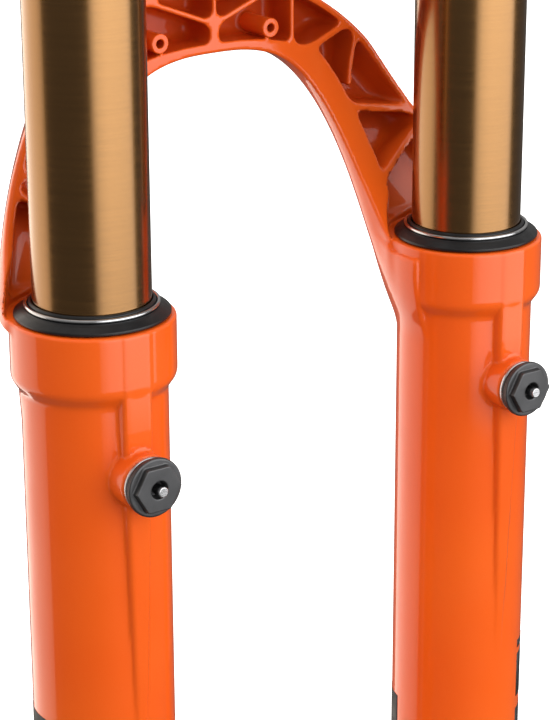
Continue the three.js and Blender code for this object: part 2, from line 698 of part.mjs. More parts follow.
/** A lug under the right dropout, slit for the pinch bolt that clamps the axle's sleeve. */
function pinchLug() {
  const lug = bandShape([PINCH_X, PINCH_Z], PINCH_LUG_R, [PINCH_X, PINCH_Z + 9], PINCH_LUG_R);
  return alongY(lug, PINCH_Y - PINCH_LUG_HALF, PINCH_Y + PINCH_LUG_HALF);
}

const BRAKE_POSTS = [BRAKE_POST_LOW, BRAKE_POST_LOW + BRAKE_POST_SPACING];
const BRAKE_POST_R = 8;
const BRAKE_WEB_HALF = 2.5;
const BRAKE_WEB_BACK = 24;

/** The two posts that carry the brake caliper, and the web between them. */
function brakeMount() {
  const posts = BRAKE_POSTS.map((z) => (
    pointBack(rod(BRAKE_POST_R, 8, BRAKE_POST_FACE)).translate(BRAKE_POST_X, 0, z)
  ));
  const [low, high] = [BRAKE_POSTS[0] - 7, BRAKE_POSTS[1] + 7.8];
  const web = polygon([[10, low], [BRAKE_WEB_BACK, low], [BRAKE_WEB_BACK, high], [10, high]]);
  return [...posts, alongX(web, BRAKE_POST_X - BRAKE_WEB_HALF, BRAKE_POST_X + BRAKE_WEB_HALF)];
}

const HOSE_GUIDE_Z = -172;
const HOSE_BOSS_FACE = 27;
const COUNTERBORE_R = 10;

function hoseGuideBoss() {
  return pointBack(rod(5.5, 18, HOSE_BOSS_FACE, 12)).translate(LEG_X, 0, HOSE_GUIDE_Z);
}

function legBore(sign) {
  return turned([
    [0, FOOT_SEAT - 1], [SHAFT_R + GAP, FOOT_SEAT - 1], [SHAFT_R + GAP, LEG_FLOOR], [LEG_BORE_R, LEG_FLOOR],
    [LEG_BORE_R, -WIPER_SEAT_DEPTH], [WIPER_SEAT_R, -WIPER_SEAT_DEPTH], [WIPER_SEAT_R, 1], [0, 1],
  ], FINE).translate(sign * LEG_X, 0, 0);
}

/** What is cut from one leg: room for the arch round the stanchion, the bores and the bleed port. */
function legTools(sign) {
  const clearance = rod(COLLAR_R + 1, 0, 75, FINE).translate(sign * LEG_X, 0, 0);
  const counterbore = rod(COUNTERBORE_R, LEG_FOOT - 1, FOOT_SEAT).translate(sign * LEG_X, 0, 0);
  const bleedPort = pointBack(rod(3.6, 15, BLEED_BOSS_FACE + 1, 12)).translate(sign * LEG_X, 0, BLEED_Z);
  return [clearance, legBore(sign), counterbore, bleedPort];
}

/** What is cut round the axle: its bore, the sleeve's, the seat of its head and the pinch slit. */
function axleTools() {
  const axleBore = pointLeft(rod(AXLE_R + GAP, 0, LUG_OUTER_X + 1));
  const sleeveBore = pointLeft(rod(SLEEVE_R + GAP, -LUG_OUTER_X - 1, -HUB_HALF_WIDTH + 1));
  const headSpotface = pointLeft(rod(AXLE_HEAD_R + 1, -LEG_X - COLLAR_R, -LUG_OUTER_X));
  const round = [axleBore, sleeveBore, headSpotface].map((tool) => tool.translate(0, -AXLE_AHEAD, AXLE_DROP));
  const slit = new THREE.BoxGeometry(LUG_OUTER_X - HUB_HALF_WIDTH + 2, PINCH_SLIT, 22);
  slit.translate(-(LUG_OUTER_X + HUB_HALF_WIDTH) / 2, PINCH_Y - 0.5, AXLE_DROP - 17);
  const boltHole = pointBack(rod(2.8, -12, 12, 12)).translate(PINCH_X, PINCH_Y, PINCH_Z - 1);
  return [...round, slit, boltHole];
}

/** The threaded holes in the brake posts and in the boss of the hose guide. */
function threadTools() {
  const brakeHoles = BRAKE_POSTS.map((z) => (
    pointBack(rod(2.6, BRAKE_POST_FACE - 18, BRAKE_POST_FACE + 1, 12)).translate(BRAKE_POST_X, 0, z)
  ));
  return [...brakeHoles, pointBack(rod(1.8, 21.5, HOSE_BOSS_FACE + 1, 10)).translate(LEG_X, 0, HOSE_GUIDE_Z)];
}

function casting() {
  const pieces = [arch(), pinchLug(), hoseGuideBoss(), ...brakeMount()];
  for (const sign of [1, -1]) {
    pieces.push(legBody(sign), archFoot(sign), channelRib(sign), bleedBoss(sign), dropout(sign));
  }
  return cut(join(...pieces), ...legTools(1), ...legTools(-1), ...axleTools(), ...threadTools());
}

place(lowers, "lower_legs", casting(), "paint");

// ---------------------------------------------------------------- bushings, foam rings and dust wipers
const WIPER_FLANGE_R = 25;
const WIPER_TOP = 5.3;
const GARTER_R = 21.4;
const GARTER_Z = 4.3;
const GARTER_WIRE_R = 0.6;
const BUSHING_LENGTH = 20;

/** The rubber lip seal: a plug in the collar, a flange on its top and a cone up to the stanchion. */
function dustWiper() {
  return turned([
    [STANCHION_R + GAP, -9], [WIPER_SEAT_R - GAP, -9], [WIPER_SEAT_R - GAP, GAP], [WIPER_FLANGE_R, GAP],
    [WIPER_FLANGE_R, 1.4], [22.4, 3.1], [20.5, 3.4], [20.3, 5], [STANCHION_R + 0.8, WIPER_TOP],
    [STANCHION_R + GAP, WIPER_TOP],
  ], FINE);
}

for (const side of ["left", "right"]) {
  const leg = legs[side];
  place(leg, `dust_wiper_${side}`, dustWiper(), "rubber");
  place(leg, `garter_spring_${side}`, turned(ringOf(5, GARTER_WIRE_R, [GARTER_R, GARTER_Z]), FINE), "steel");
  place(leg, `foam_ring_${side}`, tube(WIPER_SEAT_R - GAP, STANCHION_R + GAP, -20.5, -9.6, FINE), "foam");
  for (const [level, low] of [["upper", -44], ["lower", STANCHION_BOTTOM + 4]]) {
    const bushing = tube(LEG_BORE_R - GAP, STANCHION_R + GAP, low, low + BUSHING_LENGTH, FINE);
    place(leg, `${level}_bushing_${side}`, bushing, "bushing");
  }
}

// ---------------------------------------------------------------- bleed valves
const BLEED_HEX = 14.4;
const BLEED_FLANGE = 33.4; // heights along the valve, from the leg's axis
const BLEED_FLANGE_TOP = 35.2;
const BLEED_HEX_TOP = 37.5;
const BUTTON_SHOULDER = 36;

/** The valve's body: threaded stem, flange and hexagon, with a recess and a bore for the button. */
function bleedValve() {
  const stem = rod(3.3, 22, BLEED_FLANGE + 0.3);
  const flange = turned([
    [0, BLEED_FLANGE], [9.3, BLEED_FLANGE], [9.8, BLEED_FLANGE + 0.5], [9.8, BLEED_FLANGE_TOP - 0.5],
    [9.2, BLEED_FLANGE_TOP], [0, BLEED_FLANGE_TOP],
  ]);
  const head = hexagon(BLEED_HEX, BLEED_FLANGE_TOP - 0.2, BLEED_HEX_TOP);
  const recess = rod(2.8, BLEED_FLANGE + 0.8, BLEED_HEX_TOP + 0.5);
  return cut(join(stem, flange, head), recess, rod(1.5, 21, BUTTON_SHOULDER, 12));
}

/** The pin that lets the trapped air out when it is pressed. */
function bleedButton() {
  return turned([
    [0, 22], [1.1, 22], [1.1, BUTTON_SHOULDER], [2.2, BUTTON_SHOULDER], [2.2, BUTTON_SHOULDER + 2.4],
    [1.6, BUTTON_SHOULDER + 2.5], [1.6, BUTTON_SHOULDER + 3.8], [0, BUTTON_SHOULDER + 3.8],
  ]);
}

/** Pieces of one bleed valve, drawn along +Z from the leg's axis and then turned to point back. */
const bleedPieces = {
  washer: [() => tube(8.6, 3.6, BLEED_BOSS_FACE + GAP, BLEED_BOSS_FACE + 1.4), "aluminium"],
  oring: [() => tube(8.9, 3.6, BLEED_BOSS_FACE + 1.7, BLEED_BOSS_FACE + 2.6), "rubber"],
  valve: [bleedValve, "black_anodised"],
  button: [bleedButton, "steel"],
};
for (const side of ["left", "right"]) {
  for (const [piece, [build, finish]] of Object.entries(bleedPieces)) {
    place(legs[side], `bleed_${piece}_${side}`, pointBack(build()).translate(0, 0, BLEED_Z), finish);
  }
}

// ---------------------------------------------------------------- foot nuts and rebound adjusters
const WASHER_BOTTOM = FOOT_SEAT - 1.3;
const FOOT_NUT_HEX = 15;
const FOOT_NUT_LENGTH = 8;

function footNut() {
  const nut = hexagon(FOOT_NUT_HEX, WASHER_BOTTOM - FOOT_NUT_LENGTH, WASHER_BOTTOM - GAP);
  return cut(nut, rod(SHAFT_R + GAP, WASHER_BOTTOM - FOOT_NUT_LENGTH - 1, WASHER_BOTTOM + 1));
}

for (const side of ["left", "right"]) {
  const washer = tube(8.4, SHAFT_R + GAP, WASHER_BOTTOM, FOOT_SEAT - GAP);
  place(legs[side], `crush_washer_${side}`, washer, "aluminium");
  place(legs[side], `foot_nut_${side}`, footNut(), "steel");
}

const DIAL_HEX = 15.5;
const DIAL_SLEEVE_R = 3;
const DIAL_SLEEVE_LENGTH = 34;
const DIAL_TOP = WASHER_BOTTOM - FOOT_NUT_LENGTH - 0.6;
const DIAL_BOTTOM = DIAL_TOP - 12;
const KNOB_BOTTOM = DIAL_BOTTOM - 9;

/** The high-speed dial: a hexagonal ring with a sleeve that reaches up into the damper rod. */
function highSpeedDial() {
  const sleeve = rod(DIAL_SLEEVE_R, DIAL_TOP - 1, DIAL_TOP + DIAL_SLEEVE_LENGTH, 14);
  const bore = rod(METERING_ROD_R + GAP, DIAL_BOTTOM - 1, DIAL_TOP + DIAL_SLEEVE_LENGTH + 1, 12);
  return cut(join(hexagon(DIAL_HEX, DIAL_BOTTOM, DIAL_TOP), sleeve), bore);
}

/** The low-speed knob, in one piece with the metering rod that runs up to the rebound piston. */
function lowSpeedReboundKnob() {
  return join(
    knurled(8.4, 14, 0.8, KNOB_BOTTOM, DIAL_BOTTOM - GAP),
    rod(METERING_ROD_R, DIAL_BOTTOM - 2, PISTON_BOTTOM - 6, 10),
  );
}

place(legs.right, "high_speed_rebound_dial", highSpeedDial(), "black_anodised");
place(legs.right, "low_speed_rebound_knob", lowSpeedReboundKnob(), "red_anodised");

// ---------------------------------------------------------------- axle, sleeve and pinch bolt
const AXLE_HEAD_X = -88;
const AXLE_END_X = 80;

/** The hollow axle: head with a hexagon socket on the right, thread on the left. */
function axle() {
  const shank = turned([
    [0, AXLE_HEAD_X], [AXLE_HEAD_R - 0.4, AXLE_HEAD_X], [AXLE_HEAD_R, AXLE_HEAD_X + 0.6],
    [AXLE_HEAD_R, -LUG_OUTER_X - 2.3], [8.5, -LUG_OUTER_X - 2.3], [AXLE_R, -LUG_OUTER_X - 1.8],
    [AXLE_R, AXLE_END_X - 1],
    [AXLE_R - 1, AXLE_END_X], [0, AXLE_END_X],
  ]);
  const socket = hexagon(6, AXLE_HEAD_X - 1, AXLE_HEAD_X + 9);
  const bore = rod(4.4, AXLE_HEAD_X + 16, AXLE_END_X + 1);
  return cut(shank, socket, bore, rod(2.2, AXLE_HEAD_X, AXLE_HEAD_X + 20, 12));
}

function axleSleeve() {
  return turned([
    [AXLE_R + GAP, -LUG_OUTER_X], [SLEEVE_R - 0.4, -LUG_OUTER_X], [SLEEVE_R, -LUG_OUTER_X + 0.5],
    [SLEEVE_R, -HUB_HALF_WIDTH - 0.2], [AXLE_R + GAP, -HUB_HALF_WIDTH - 0.2],
  ]);
}

function pinchBolt() {
  return cut(join(rod(2.5, -8, 9.5, 12), rod(4.2, 8.8, 13)), hexagon(4, 10, 14));
}

const wheelEnd = new THREE.Group();
wheelEnd.position.set(0, -AXLE_AHEAD, AXLE_DROP);
lowers.add(wheelEnd);
const axleOring = tube(9.3, AXLE_R + 0.25, -LUG_OUTER_X - 1.5, -LUG_OUTER_X - GAP);
place(wheelEnd, "axle", pointLeft(axle()), "black_anodised");
place(wheelEnd, "axle_oring", pointLeft(axleOring), "rubber");
place(wheelEnd, "axle_sleeve", pointLeft(axleSleeve()), "aluminium");
const pinchBoltInLug = pinchBolt().rotateX(Math.PI / 2).translate(PINCH_X, PINCH_Y, PINCH_Z - 1);
place(lowers, "pinch_bolt", pinchBoltInLug, "steel");

// ---------------------------------------------------------------- brake-hose guide
const HOSE_R = 2.6;
const HOSE_X = -11; // the hose, from the screw
const HOSE_HEIGHT = 3.4;
const CLIP_DEPTH = 4.6;

/** The clip that holds the brake hose against the left leg: a saddle with an open channel. */
function hoseGuide() {
  const base = extruded(bandShape([0, 0], 6, [HOSE_X, 0], 5), CLIP_DEPTH);
  const channel = rod(HOSE_R, -10, 10, 14).rotateX(Math.PI / 2).translate(HOSE_X, 0, HOSE_HEIGHT);
  const mouth = new THREE.BoxGeometry(2 * HOSE_R - 1.2, 24, 6).translate(HOSE_X, 0, CLIP_DEPTH + 0.4);
  const body = cut(base, channel, mouth, rod(1.9, -1, CLIP_DEPTH + 1, 12));
  return pointBack(body).translate(0, HOSE_BOSS_FACE + GAP, HOSE_GUIDE_Z);
}

function hoseGuideScrew() {
  const screw = cut(join(rod(1.5, -5, 5.4, 10), rod(3.3, 5, 7.2, 16)), hexagon(2.5, 6, 8));
  return pointBack(screw).translate(0, HOSE_BOSS_FACE + GAP, HOSE_GUIDE_Z);
}

place(legs.left, "hose_guide", hoseGuide(), "plastic");
place(legs.left, "hose_guide_screw", hoseGuideScrew(), "steel");

export default fork;
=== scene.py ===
"""Looks of the bicycle suspension fork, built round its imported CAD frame.

The frame is in metres: +Z up the steerer, -Y to the front of the bicycle and +X to the rider's left.
Shapes are drawn in millimetres in the legs' own frame, whose origin lies midway between the leg axes at
the height of the collars' tops. Cast and milled pieces are distance fields turned into fine meshes, and
turned pieces are profiles with rounded corners turned about an axis.
"""

import json
import math

import bpy
import numpy as np
from mathutils import Matrix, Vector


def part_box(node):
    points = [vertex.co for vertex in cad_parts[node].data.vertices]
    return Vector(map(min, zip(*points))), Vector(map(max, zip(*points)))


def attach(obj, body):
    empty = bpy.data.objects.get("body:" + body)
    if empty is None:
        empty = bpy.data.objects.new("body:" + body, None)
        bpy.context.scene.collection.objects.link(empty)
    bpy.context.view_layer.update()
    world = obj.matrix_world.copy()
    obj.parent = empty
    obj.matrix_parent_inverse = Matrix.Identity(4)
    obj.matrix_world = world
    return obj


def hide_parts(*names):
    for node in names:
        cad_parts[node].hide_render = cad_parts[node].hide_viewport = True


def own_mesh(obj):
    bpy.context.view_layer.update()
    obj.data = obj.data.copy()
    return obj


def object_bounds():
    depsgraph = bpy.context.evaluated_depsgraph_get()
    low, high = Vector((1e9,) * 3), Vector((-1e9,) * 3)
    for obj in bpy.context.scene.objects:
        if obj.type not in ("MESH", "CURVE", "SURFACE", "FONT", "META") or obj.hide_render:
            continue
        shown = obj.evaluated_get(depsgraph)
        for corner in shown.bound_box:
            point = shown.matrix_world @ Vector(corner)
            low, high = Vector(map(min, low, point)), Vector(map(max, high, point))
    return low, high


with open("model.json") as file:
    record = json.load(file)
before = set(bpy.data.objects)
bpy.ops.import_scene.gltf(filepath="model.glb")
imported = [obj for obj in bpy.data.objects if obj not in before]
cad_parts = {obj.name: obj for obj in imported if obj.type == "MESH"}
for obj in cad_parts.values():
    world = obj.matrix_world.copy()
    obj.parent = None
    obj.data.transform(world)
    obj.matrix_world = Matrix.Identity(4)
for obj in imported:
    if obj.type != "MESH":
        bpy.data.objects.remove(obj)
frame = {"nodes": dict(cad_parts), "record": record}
cad_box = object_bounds()

MM = 0.001


# ---------- places, from the frame
def centre_of(node):
    low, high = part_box(node)
    return (low + high) / 2


LEG_X = centre_of("stanchion_left").x / MM
LEG_Y = centre_of("stanchion_left").y
WIPER_TOP = 5.3
COLLAR_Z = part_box("dust_wiper_left")[1].z - WIPER_TOP * MM
ORIGIN = np.array([0.0, LEG_Y, COLLAR_Z])
STEERER_HIGH = -COLLAR_Z / MM  # the crown race seat's height in the legs' frame
STEERER_BACK = -LEG_Y / MM
AXLE_Y = (centre_of("axle").y - LEG_Y) / MM
AXLE_Z = (centre_of("axle").z - COLLAR_Z) / MM
BLEED_Z = (centre_of("bleed_valve_left").z - COLLAR_Z) / MM
SIDES = (("left", 1), ("right", -1))

# ---------- driving dimensions, in millimetres
LEG_R = 23.65
COLLAR_R = 26.6
COLLAR_HEIGHT = 19.4
LEG_FOOT = -349
LEG_FLOOR = -314
FOOT_SEAT = -332
BORE_R = 20.6
WIPER_SEAT_R = 22.5
WIPER_SEAT_DEPTH = 21.5
STANCHION_R = 19
HUB_HALF = 55
LUG_OUTER = 84
BRAKE_X, BRAKE_LOW, BRAKE_HIGH = 60, -296, -221.8
HOSE_Z, HOSE_FACE = -172, 27.3
PINCH_X, PINCH_Z = -70, AXLE_Z - 16.5
FAR = 50  # added to a distance, it takes a shape out of reach


# ---------- camera, lights and floor
CAMERA_AT = (0.44873, 0.60020, -0.01753)
CAMERA_BEARING, CAMERA_RISE, CAMERA_ROLL = 54.6132, 19.2767, -0.2275  # in degrees, the bearing from +X
RIGHT_LEVELS = ((10, 0.7), (22, 2.2), (40, 2.6), (60, 2.55), (86, 2.35), (97, 1.6))
RIGHT_FADE = ((-0.90, 0.0), (-0.82, 0.7), (-0.42, 1.0), (0.4, 1.0), (1.2, 0.55), (1.9, 0.5))
LEFT_LEVELS = ((-150, 2.4), (-112, 1.75), (-90, 1.5), (-78, 1.0))
LEFT_FADE = ((-1.5, 0.9), (0.3, 1.0), (1.0, 0.4), (1.9, 0.2))
WARM = (1, 0.90, 0.80)
SURROUND, SURROUND_MIRRORED, SURROUND_LEAST = 0.92, 0.22, 0.10


def placed(name, data):
    """A new object in the scene."""
    made = bpy.data.objects.new(name, data)
    bpy.context.scene.collection.objects.link(made)
    return made


class Tree:
    """The nodes of a material or world."""

    def __init__(self, owner, emptied=True):
        owner.use_nodes = True
        self.nodes, self.links = owner.node_tree.nodes, owner.node_tree.links
        if emptied:
            self.nodes.clear()

    def feed(self, socket, source):
        """Links a socket to another one, or sets its value."""
        if isinstance(source, bpy.types.NodeSocket):
            self.links.new(source, socket)
        elif source is not None:
            socket.default_value = source

    def node(self, kind, *sources, sockets=None, output=0, **settings):
        """Adds a node, with sources for its first sockets and for others by name, and gives an output."""
        made = self.nodes.new(f"ShaderNode{kind}")
        for name, value in settings.items():
            setattr(made, name, value)
        for key, source in [*enumerate(sources), *(sockets or {}).items()]:
            self.feed(made.inputs[key], source)
        return made.outputs[output] if made.outputs else None


def add_camera():
    data = bpy.data.cameras.new("camera")
    data.sensor_width = 36
    data.lens = 120.6
    data.clip_start = 0.05
    data.clip_end = 60
    camera = placed("camera", data)
    turns = ((CAMERA_BEARING + 90, "Z"), (90 - CAMERA_RISE, "X"), (CAMERA_ROLL, "Z"))
    bearing, rise, roll = [Matrix.Rotation(math.radians(angle), 4, axis) for angle, axis in turns]
    camera.matrix_world = Matrix.Translation(CAMERA_AT) @ bearing @ rise @ roll
    bpy.context.scene.camera = camera


def arc_light(name, levels, fade, tint=(1, 1, 1), distance=1.5):
    """A tall curved light round the fork.

    Levels are (degrees to the right of the camera, radiance), and fade is (height, share).
    """
    angles = np.arange(levels[0][0], levels[-1][0] + 1, 3)
    heights = np.linspace(fade[0][0], fade[-1][0], 40)
    glow = np.interp(angles, *zip(*levels))[:, None] * np.interp(heights, *zip(*fade))[None]
    ways = directions(np.radians(angles + CAMERA_BEARING))[:, None, :]
    points = ways * distance + np.array([(0, LEG_Y, height) for height in heights])
    index = np.arange(glow.size).reshape(glow.shape)
    quads = np.stack([index[:-1, :-1], index[1:, :-1], index[1:, 1:], index[:-1, 1:]], -1).reshape(-1, 4)
    mesh = mesh_from(name, points.reshape(-1, 3), quads)
    mesh.attributes.new("glow", "FLOAT", "POINT").data.foreach_set("value", glow.ravel().astype(np.float32))
    look = bpy.data.materials.new(name)
    tree = Tree(look)
    level = tree.node("Attribute", output="Fac", attribute_name="glow")
    tree.node("OutputMaterial", tree.node("Emission", (*tint, 1), level))
    mesh.materials.append(look)
    lamp = placed(name, mesh)
    lamp.visible_camera = False
    lamp.visible_shadow = False


def overhead(strength, size=1.6, height=2.0):
    data = bpy.data.lights.new("overhead", "AREA")
    data.size = size
    data.energy = strength * size * size
    lamp = placed("overhead", data)
    lamp.location = (0, LEG_Y, height)
    lamp.visible_camera = False


def add_world():
    """A white surround to look at, and one for the fork to mirror that is dim below the horizon."""
    world = bpy.data.worlds.new("studio")
    bpy.context.scene.world = world
    tree = Tree(world)
    height = tree.node("SeparateXYZ", tree.node("TexCoord", output="Generated"), output="Z")
    rise = tree.node("MapRange", height, -0.2, 0.25, 0, 1)
    glossy = tree.node("LightPath", output="Is Glossy Ray")
    gain = tree.node("Math", glossy, SURROUND_MIRRORED - SURROUND, SURROUND, operation="MULTIPLY_ADD")
    level = tree.node("Math", rise, gain, SURROUND_LEAST, operation="MULTIPLY_ADD")
    lit = tree.node("Background", (1, 0.98, 0.95, 1), level)
    seen = tree.node("Background", (1, 1, 1, 1))
    camera = tree.node("LightPath", output="Is Camera Ray")
    tree.node("OutputWorld", tree.node("MixShader", camera, lit, seen))


def add_floor(low, reach=40):
    """A white floor that neither lights nor shades the fork."""
    mesh = bpy.data.meshes.new("floor")
    corners = [(-reach, -reach, low), (reach, -reach, low), (reach, reach, low), (-reach, reach, low)]
    mesh.from_pydata(corners, [], [(0, 1, 2, 3)])
    floor = placed("floor", mesh)
    pale = Look("floor", Base_Color=rgb(0.8, 0.8, 0.8), Roughness=0.9)
    pale.set(Emission_Color=rgb(1, 1, 1), Emission_Strength=1.0)
    mesh.materials.append(pale.material)
    floor.visible_glossy = floor.visible_diffuse = floor.visible_shadow = False


# ---------- meshes from arrays
def mesh_from(name, points, faces):
    """A mesh of faces with the same number of corners, from points in metres."""
    mesh = bpy.data.meshes.new(name)
    sides = faces.shape[1]
    mesh.vertices.add(len(points))
    mesh.vertices.foreach_set("co", points.astype(np.float32).ravel())
    mesh.loops.add(faces.size)
    mesh.loops.foreach_set("vertex_index", faces.astype(np.int32).ravel())
    mesh.polygons.add(len(faces))
    mesh.polygons.foreach_set("loop_start", np.arange(len(faces), dtype=np.int32) * sides)
    mesh.update(calc_edges=True)
    mesh.validate()
    return mesh


def points_of(mesh):
    points = np.empty(3 * len(mesh.vertices), np.float32)
    mesh.vertices.foreach_get("co", points)
    return points.reshape(-1, 3).astype(float)


def shade(mesh, normals):
    mesh.shade_smooth()
    mesh.normals_split_custom_set_from_vertices(normals.astype(np.float32).tolist())


def add_piece(name, mesh, body, look, slot, nodes):
    """Puts a mesh in the scene as a piece of the fork that stands for CAD nodes."""
    piece = placed(name, mesh)
    mesh.materials.append(look)
    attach(piece, body)
    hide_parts(*nodes)
    return piece


# ---------- turned and wound pieces
def wrapped(rows):
    """Faces of a tube between neighbouring rows of its points."""
    ahead = np.roll(rows, -1, axis=1)
    return np.stack([rows[:-1], rows[1:], ahead[1:], ahead[:-1]], -1).reshape(-1, 4)


def unit(vectors):
    return vectors / np.linalg.norm(vectors, axis=-1, keepdims=True)


def directions(angles):
    """Level directions at angles from the X axis."""
    return np.stack([np.cos(angles), np.sin(angles), 0 * angles], -1)


def rounded(outline, radius, steps=4):
    """A closed outline with each corner rounded, as points and outward directions.

    The outline runs anticlockwise in the (radius, height) plane. A corner may carry its own rounding
    as a third number.
    """
    corners = [np.array(c[:2], float) for c in outline]
    own = [c[2] if len(c) > 2 else radius for c in outline]
    points, outward = [], []
    for i, corner in enumerate(corners):
        before, after = corners[i - 1] - corner, corners[(i + 1) % len(corners)] - corner
        reach = min(np.linalg.norm(before), np.linalg.norm(after)) * 0.45
        before, after = unit(before), unit(after)
        half = math.acos(np.clip(before @ after, -1, 1)) / 2
        size = min(own[i], reach * math.tan(half))
        turn = math.copysign(1, before[0] * after[1] - before[1] * after[0])
        middle = corner + unit(before + after) * size / math.sin(half)
        first = corner + before * size / math.tan(half) - middle
        last = corner + after * size / math.tan(half) - middle
        for step in range(steps + 1):
            ray = unit(first + (last - first) * (step / steps))
            points.append(middle + ray * size)
            outward.append(ray * -turn)
    return np.array(points), np.array(outward)


def turned_mesh(name, outline, at, radius=0.25, sides=96, axis="Z"):
    """A rounded outline turned about an axis through a point of the legs' frame."""
    return turned(name, *rounded(outline, radius), at, sides, axis)


def turned(name, ring, outward, at, sides, axis="Z"):
    """Outline points and their outward directions, turned about an axis."""
    angles = np.arange(sides) * 2 * math.pi / sides
    cosine, sine = np.cos(angles)[:, None], np.sin(angles)[:, None]

    def swept(flat, shift):
        across, along = flat[:, 0] + 0 * cosine, flat[:, 1] + 0 * cosine
        first, second = across * cosine, across * sine
        order = {"Z": (first, second, along), "Y": (second, along, first), "X": (along, first, second)}
        return np.stack(order[axis], axis=-1).reshape(-1, 3) + shift

    rows = np.arange(sides * len(ring)).reshape(sides, -1)
    faces = wrapped(np.vstack([rows, rows[:1]]))
    mesh = mesh_from(name, swept(ring, np.array(at)) * MM + ORIGIN, faces)
    shade(mesh, swept(outward, 0))
    return mesh


# ---------- distance fields
def smax(a, b, k):
    """The larger of two distances, with the edge between them rounded over a width k."""
    return np.maximum(a, b) + np.maximum(k - np.abs(a - b), 0) ** 2 / (4 * k)


def smin(a, b, k):
    return -smax(-a, -b, k)


def slab(value, low, high, k=0.8):
    return smax(low - value, value - high, k)


def disc(across, along, radius, low, high, k=0.8):
    return smax(across - radius, slab(along, low, high), k)


def beside(u, v, start, end):
    """Distance from a line segment in a plane, and the share of its length to the nearest point."""
    du, dv = end[0] - start[0], end[1] - start[1]
    share = np.clip(((u - start[0]) * du + (v - start[1]) * dv) / (du * du + dv * dv), 0, 1)
    return np.hypot(u - start[0] - share * du, v - start[1] - share * dv), share


def tapered(u, v, start, end, radius_a, radius_b):
    """Distance from the band round two circles of different size."""
    away, share = beside(u, v, start, end)
    return away - radius_a - (radius_b - radius_a) * share


def past(u, v, at, rise, run):
    """Distance past a sloping line through a point, on the side to which u grows."""
    return ((u - at[0]) * rise - (v - at[1]) * run) / math.hypot(rise, run)


def hexagonal(u, v, across_flats, k=0.8):
    """Distance from a hexagon with corners on the u axis."""
    flats = [np.abs(v), np.abs(u) * math.cos(math.pi / 6) + np.abs(v) * 0.5]
    return smax(flats[0], flats[1], k) - across_flats / 2


def lattice(*axes):
    """Every combination of values along three axes, a row each."""
    return np.stack(np.meshgrid(*axes, indexing="ij"), -1).reshape(-1, 3)


def blockwise(field, axes, steepness=1.4, block=8):
    """The field on a grid, worked out only in the blocks that its surface may cross."""
    sizes = [len(axis) for axis in axes]
    starts = [np.arange(0, size, block) for size in sizes]
    ends = [np.minimum(start + block, size - 1) for start, size in zip(starts, sizes)]
    middles = [(a[s] + a[e]) / 2 for a, s, e in zip(axes, starts, ends)]
    halves = [(a[e] - a[s]) / 2 for a, s, e in zip(axes, starts, ends)]
    rough = field(*lattice(*middles).T).reshape([len(s) for s in starts])
    reach = np.linalg.norm(lattice(*halves), axis=1).reshape(rough.shape)
    values = rough.astype(np.float32)
    for k in range(3):
        values = np.repeat(values, block, axis=k)
    values = values[: sizes[0], : sizes[1], : sizes[2]].copy()
    inner = lattice(*[np.arange(block)] * 3)
    chosen = np.argwhere(np.abs(rough) < steepness * reach + 0.5)
    for part in np.array_split(chosen, max(1, len(chosen) // 500)):
        index = (part[:, None, :] * block + inner[None]).reshape(-1, 3)
        index = index[(index < sizes).all(axis=1)]
        i, j, k = index.T
        values[i, j, k] = field(axes[0][i], axes[1][j], axes[2][k])
    return values


def netted(values, axes):
    """Points and outward quads of the surface where the values change sign."""
    sizes = np.array(values.shape)
    owners, crossings, quads = [], [], []
    for axis in range(3):
        side_1, side_2 = (axis + 1) % 3, (axis + 2) % 3
        inside = np.moveaxis(values, axis, 0) < 0
        found = np.argwhere(inside[1:] != inside[:-1])
        start = np.empty_like(found)
        start[:, [axis, *[k for k in range(3) if k != axis]]] = found
        kept = [(start[:, k] > 0) & (start[:, k] < sizes[k] - 1) for k in (side_1, side_2)]
        start = start[kept[0] & kept[1]]
        end = start.copy()
        end[:, axis] += 1
        value_a, value_b = values[tuple(start.T)], values[tuple(end.T)]
        share = value_a / (value_a - value_b)
        point = np.stack([axes[k][start[:, k]] for k in range(3)], -1)
        point[:, axis] += share * (axes[axis][end[:, axis]] - point[:, axis])
        cells = []
        for back_1, back_2 in ((0, 0), (1, 0), (1, 1), (0, 1)):
            cell = start.copy()
            cell[:, side_1] -= back_1
            cell[:, side_2] -= back_2
            cells.append(np.ravel_multi_index(tuple(cell.T), values.shape))
            owners.append(cells[-1])
            crossings.append(point)
        quad = np.stack(cells, -1)
        quads.append(np.where((value_a < 0)[:, None], quad, quad[:, ::-1]))
    names, index = np.unique(np.concatenate(owners), return_inverse=True)
    crossings = np.concatenate(crossings)
    count = np.bincount(index)
    points = np.stack([np.bincount(index, crossings[:, k]) / count for k in range(3)], -1)
    return points, np.searchsorted(names, np.concatenate(quads))


TETRAHEDRON = np.array([[1, -1, -1], [-1, -1, 1], [-1, 1, -1], [1, 1, 1]], float)


def slope(field, points, step=0.03):
    """The field and its gradient at each point."""
    value, gradient = 0, 0
    for corner in TETRAHEDRON:
        sample = field(*(points + corner * step).T)
        value = value + sample / 4
        gradient = gradient + sample[:, None] * corner / (4 * step)
    return value, gradient


def settled(field, points, limit, rounds=3):
    """Points moved onto the field's surface, and the surface's directions there."""
    for _ in range(rounds):
        value, gradient = slope(field, points)
        steepness = np.maximum((gradient**2).sum(axis=1), 0.05)
        points = points - np.clip(value / steepness, -limit, limit)[:, None] * gradient
    _, gradient = slope(field, points)
    return points, gradient / np.maximum(np.linalg.norm(gradient, axis=1), 1e-9)[:, None]


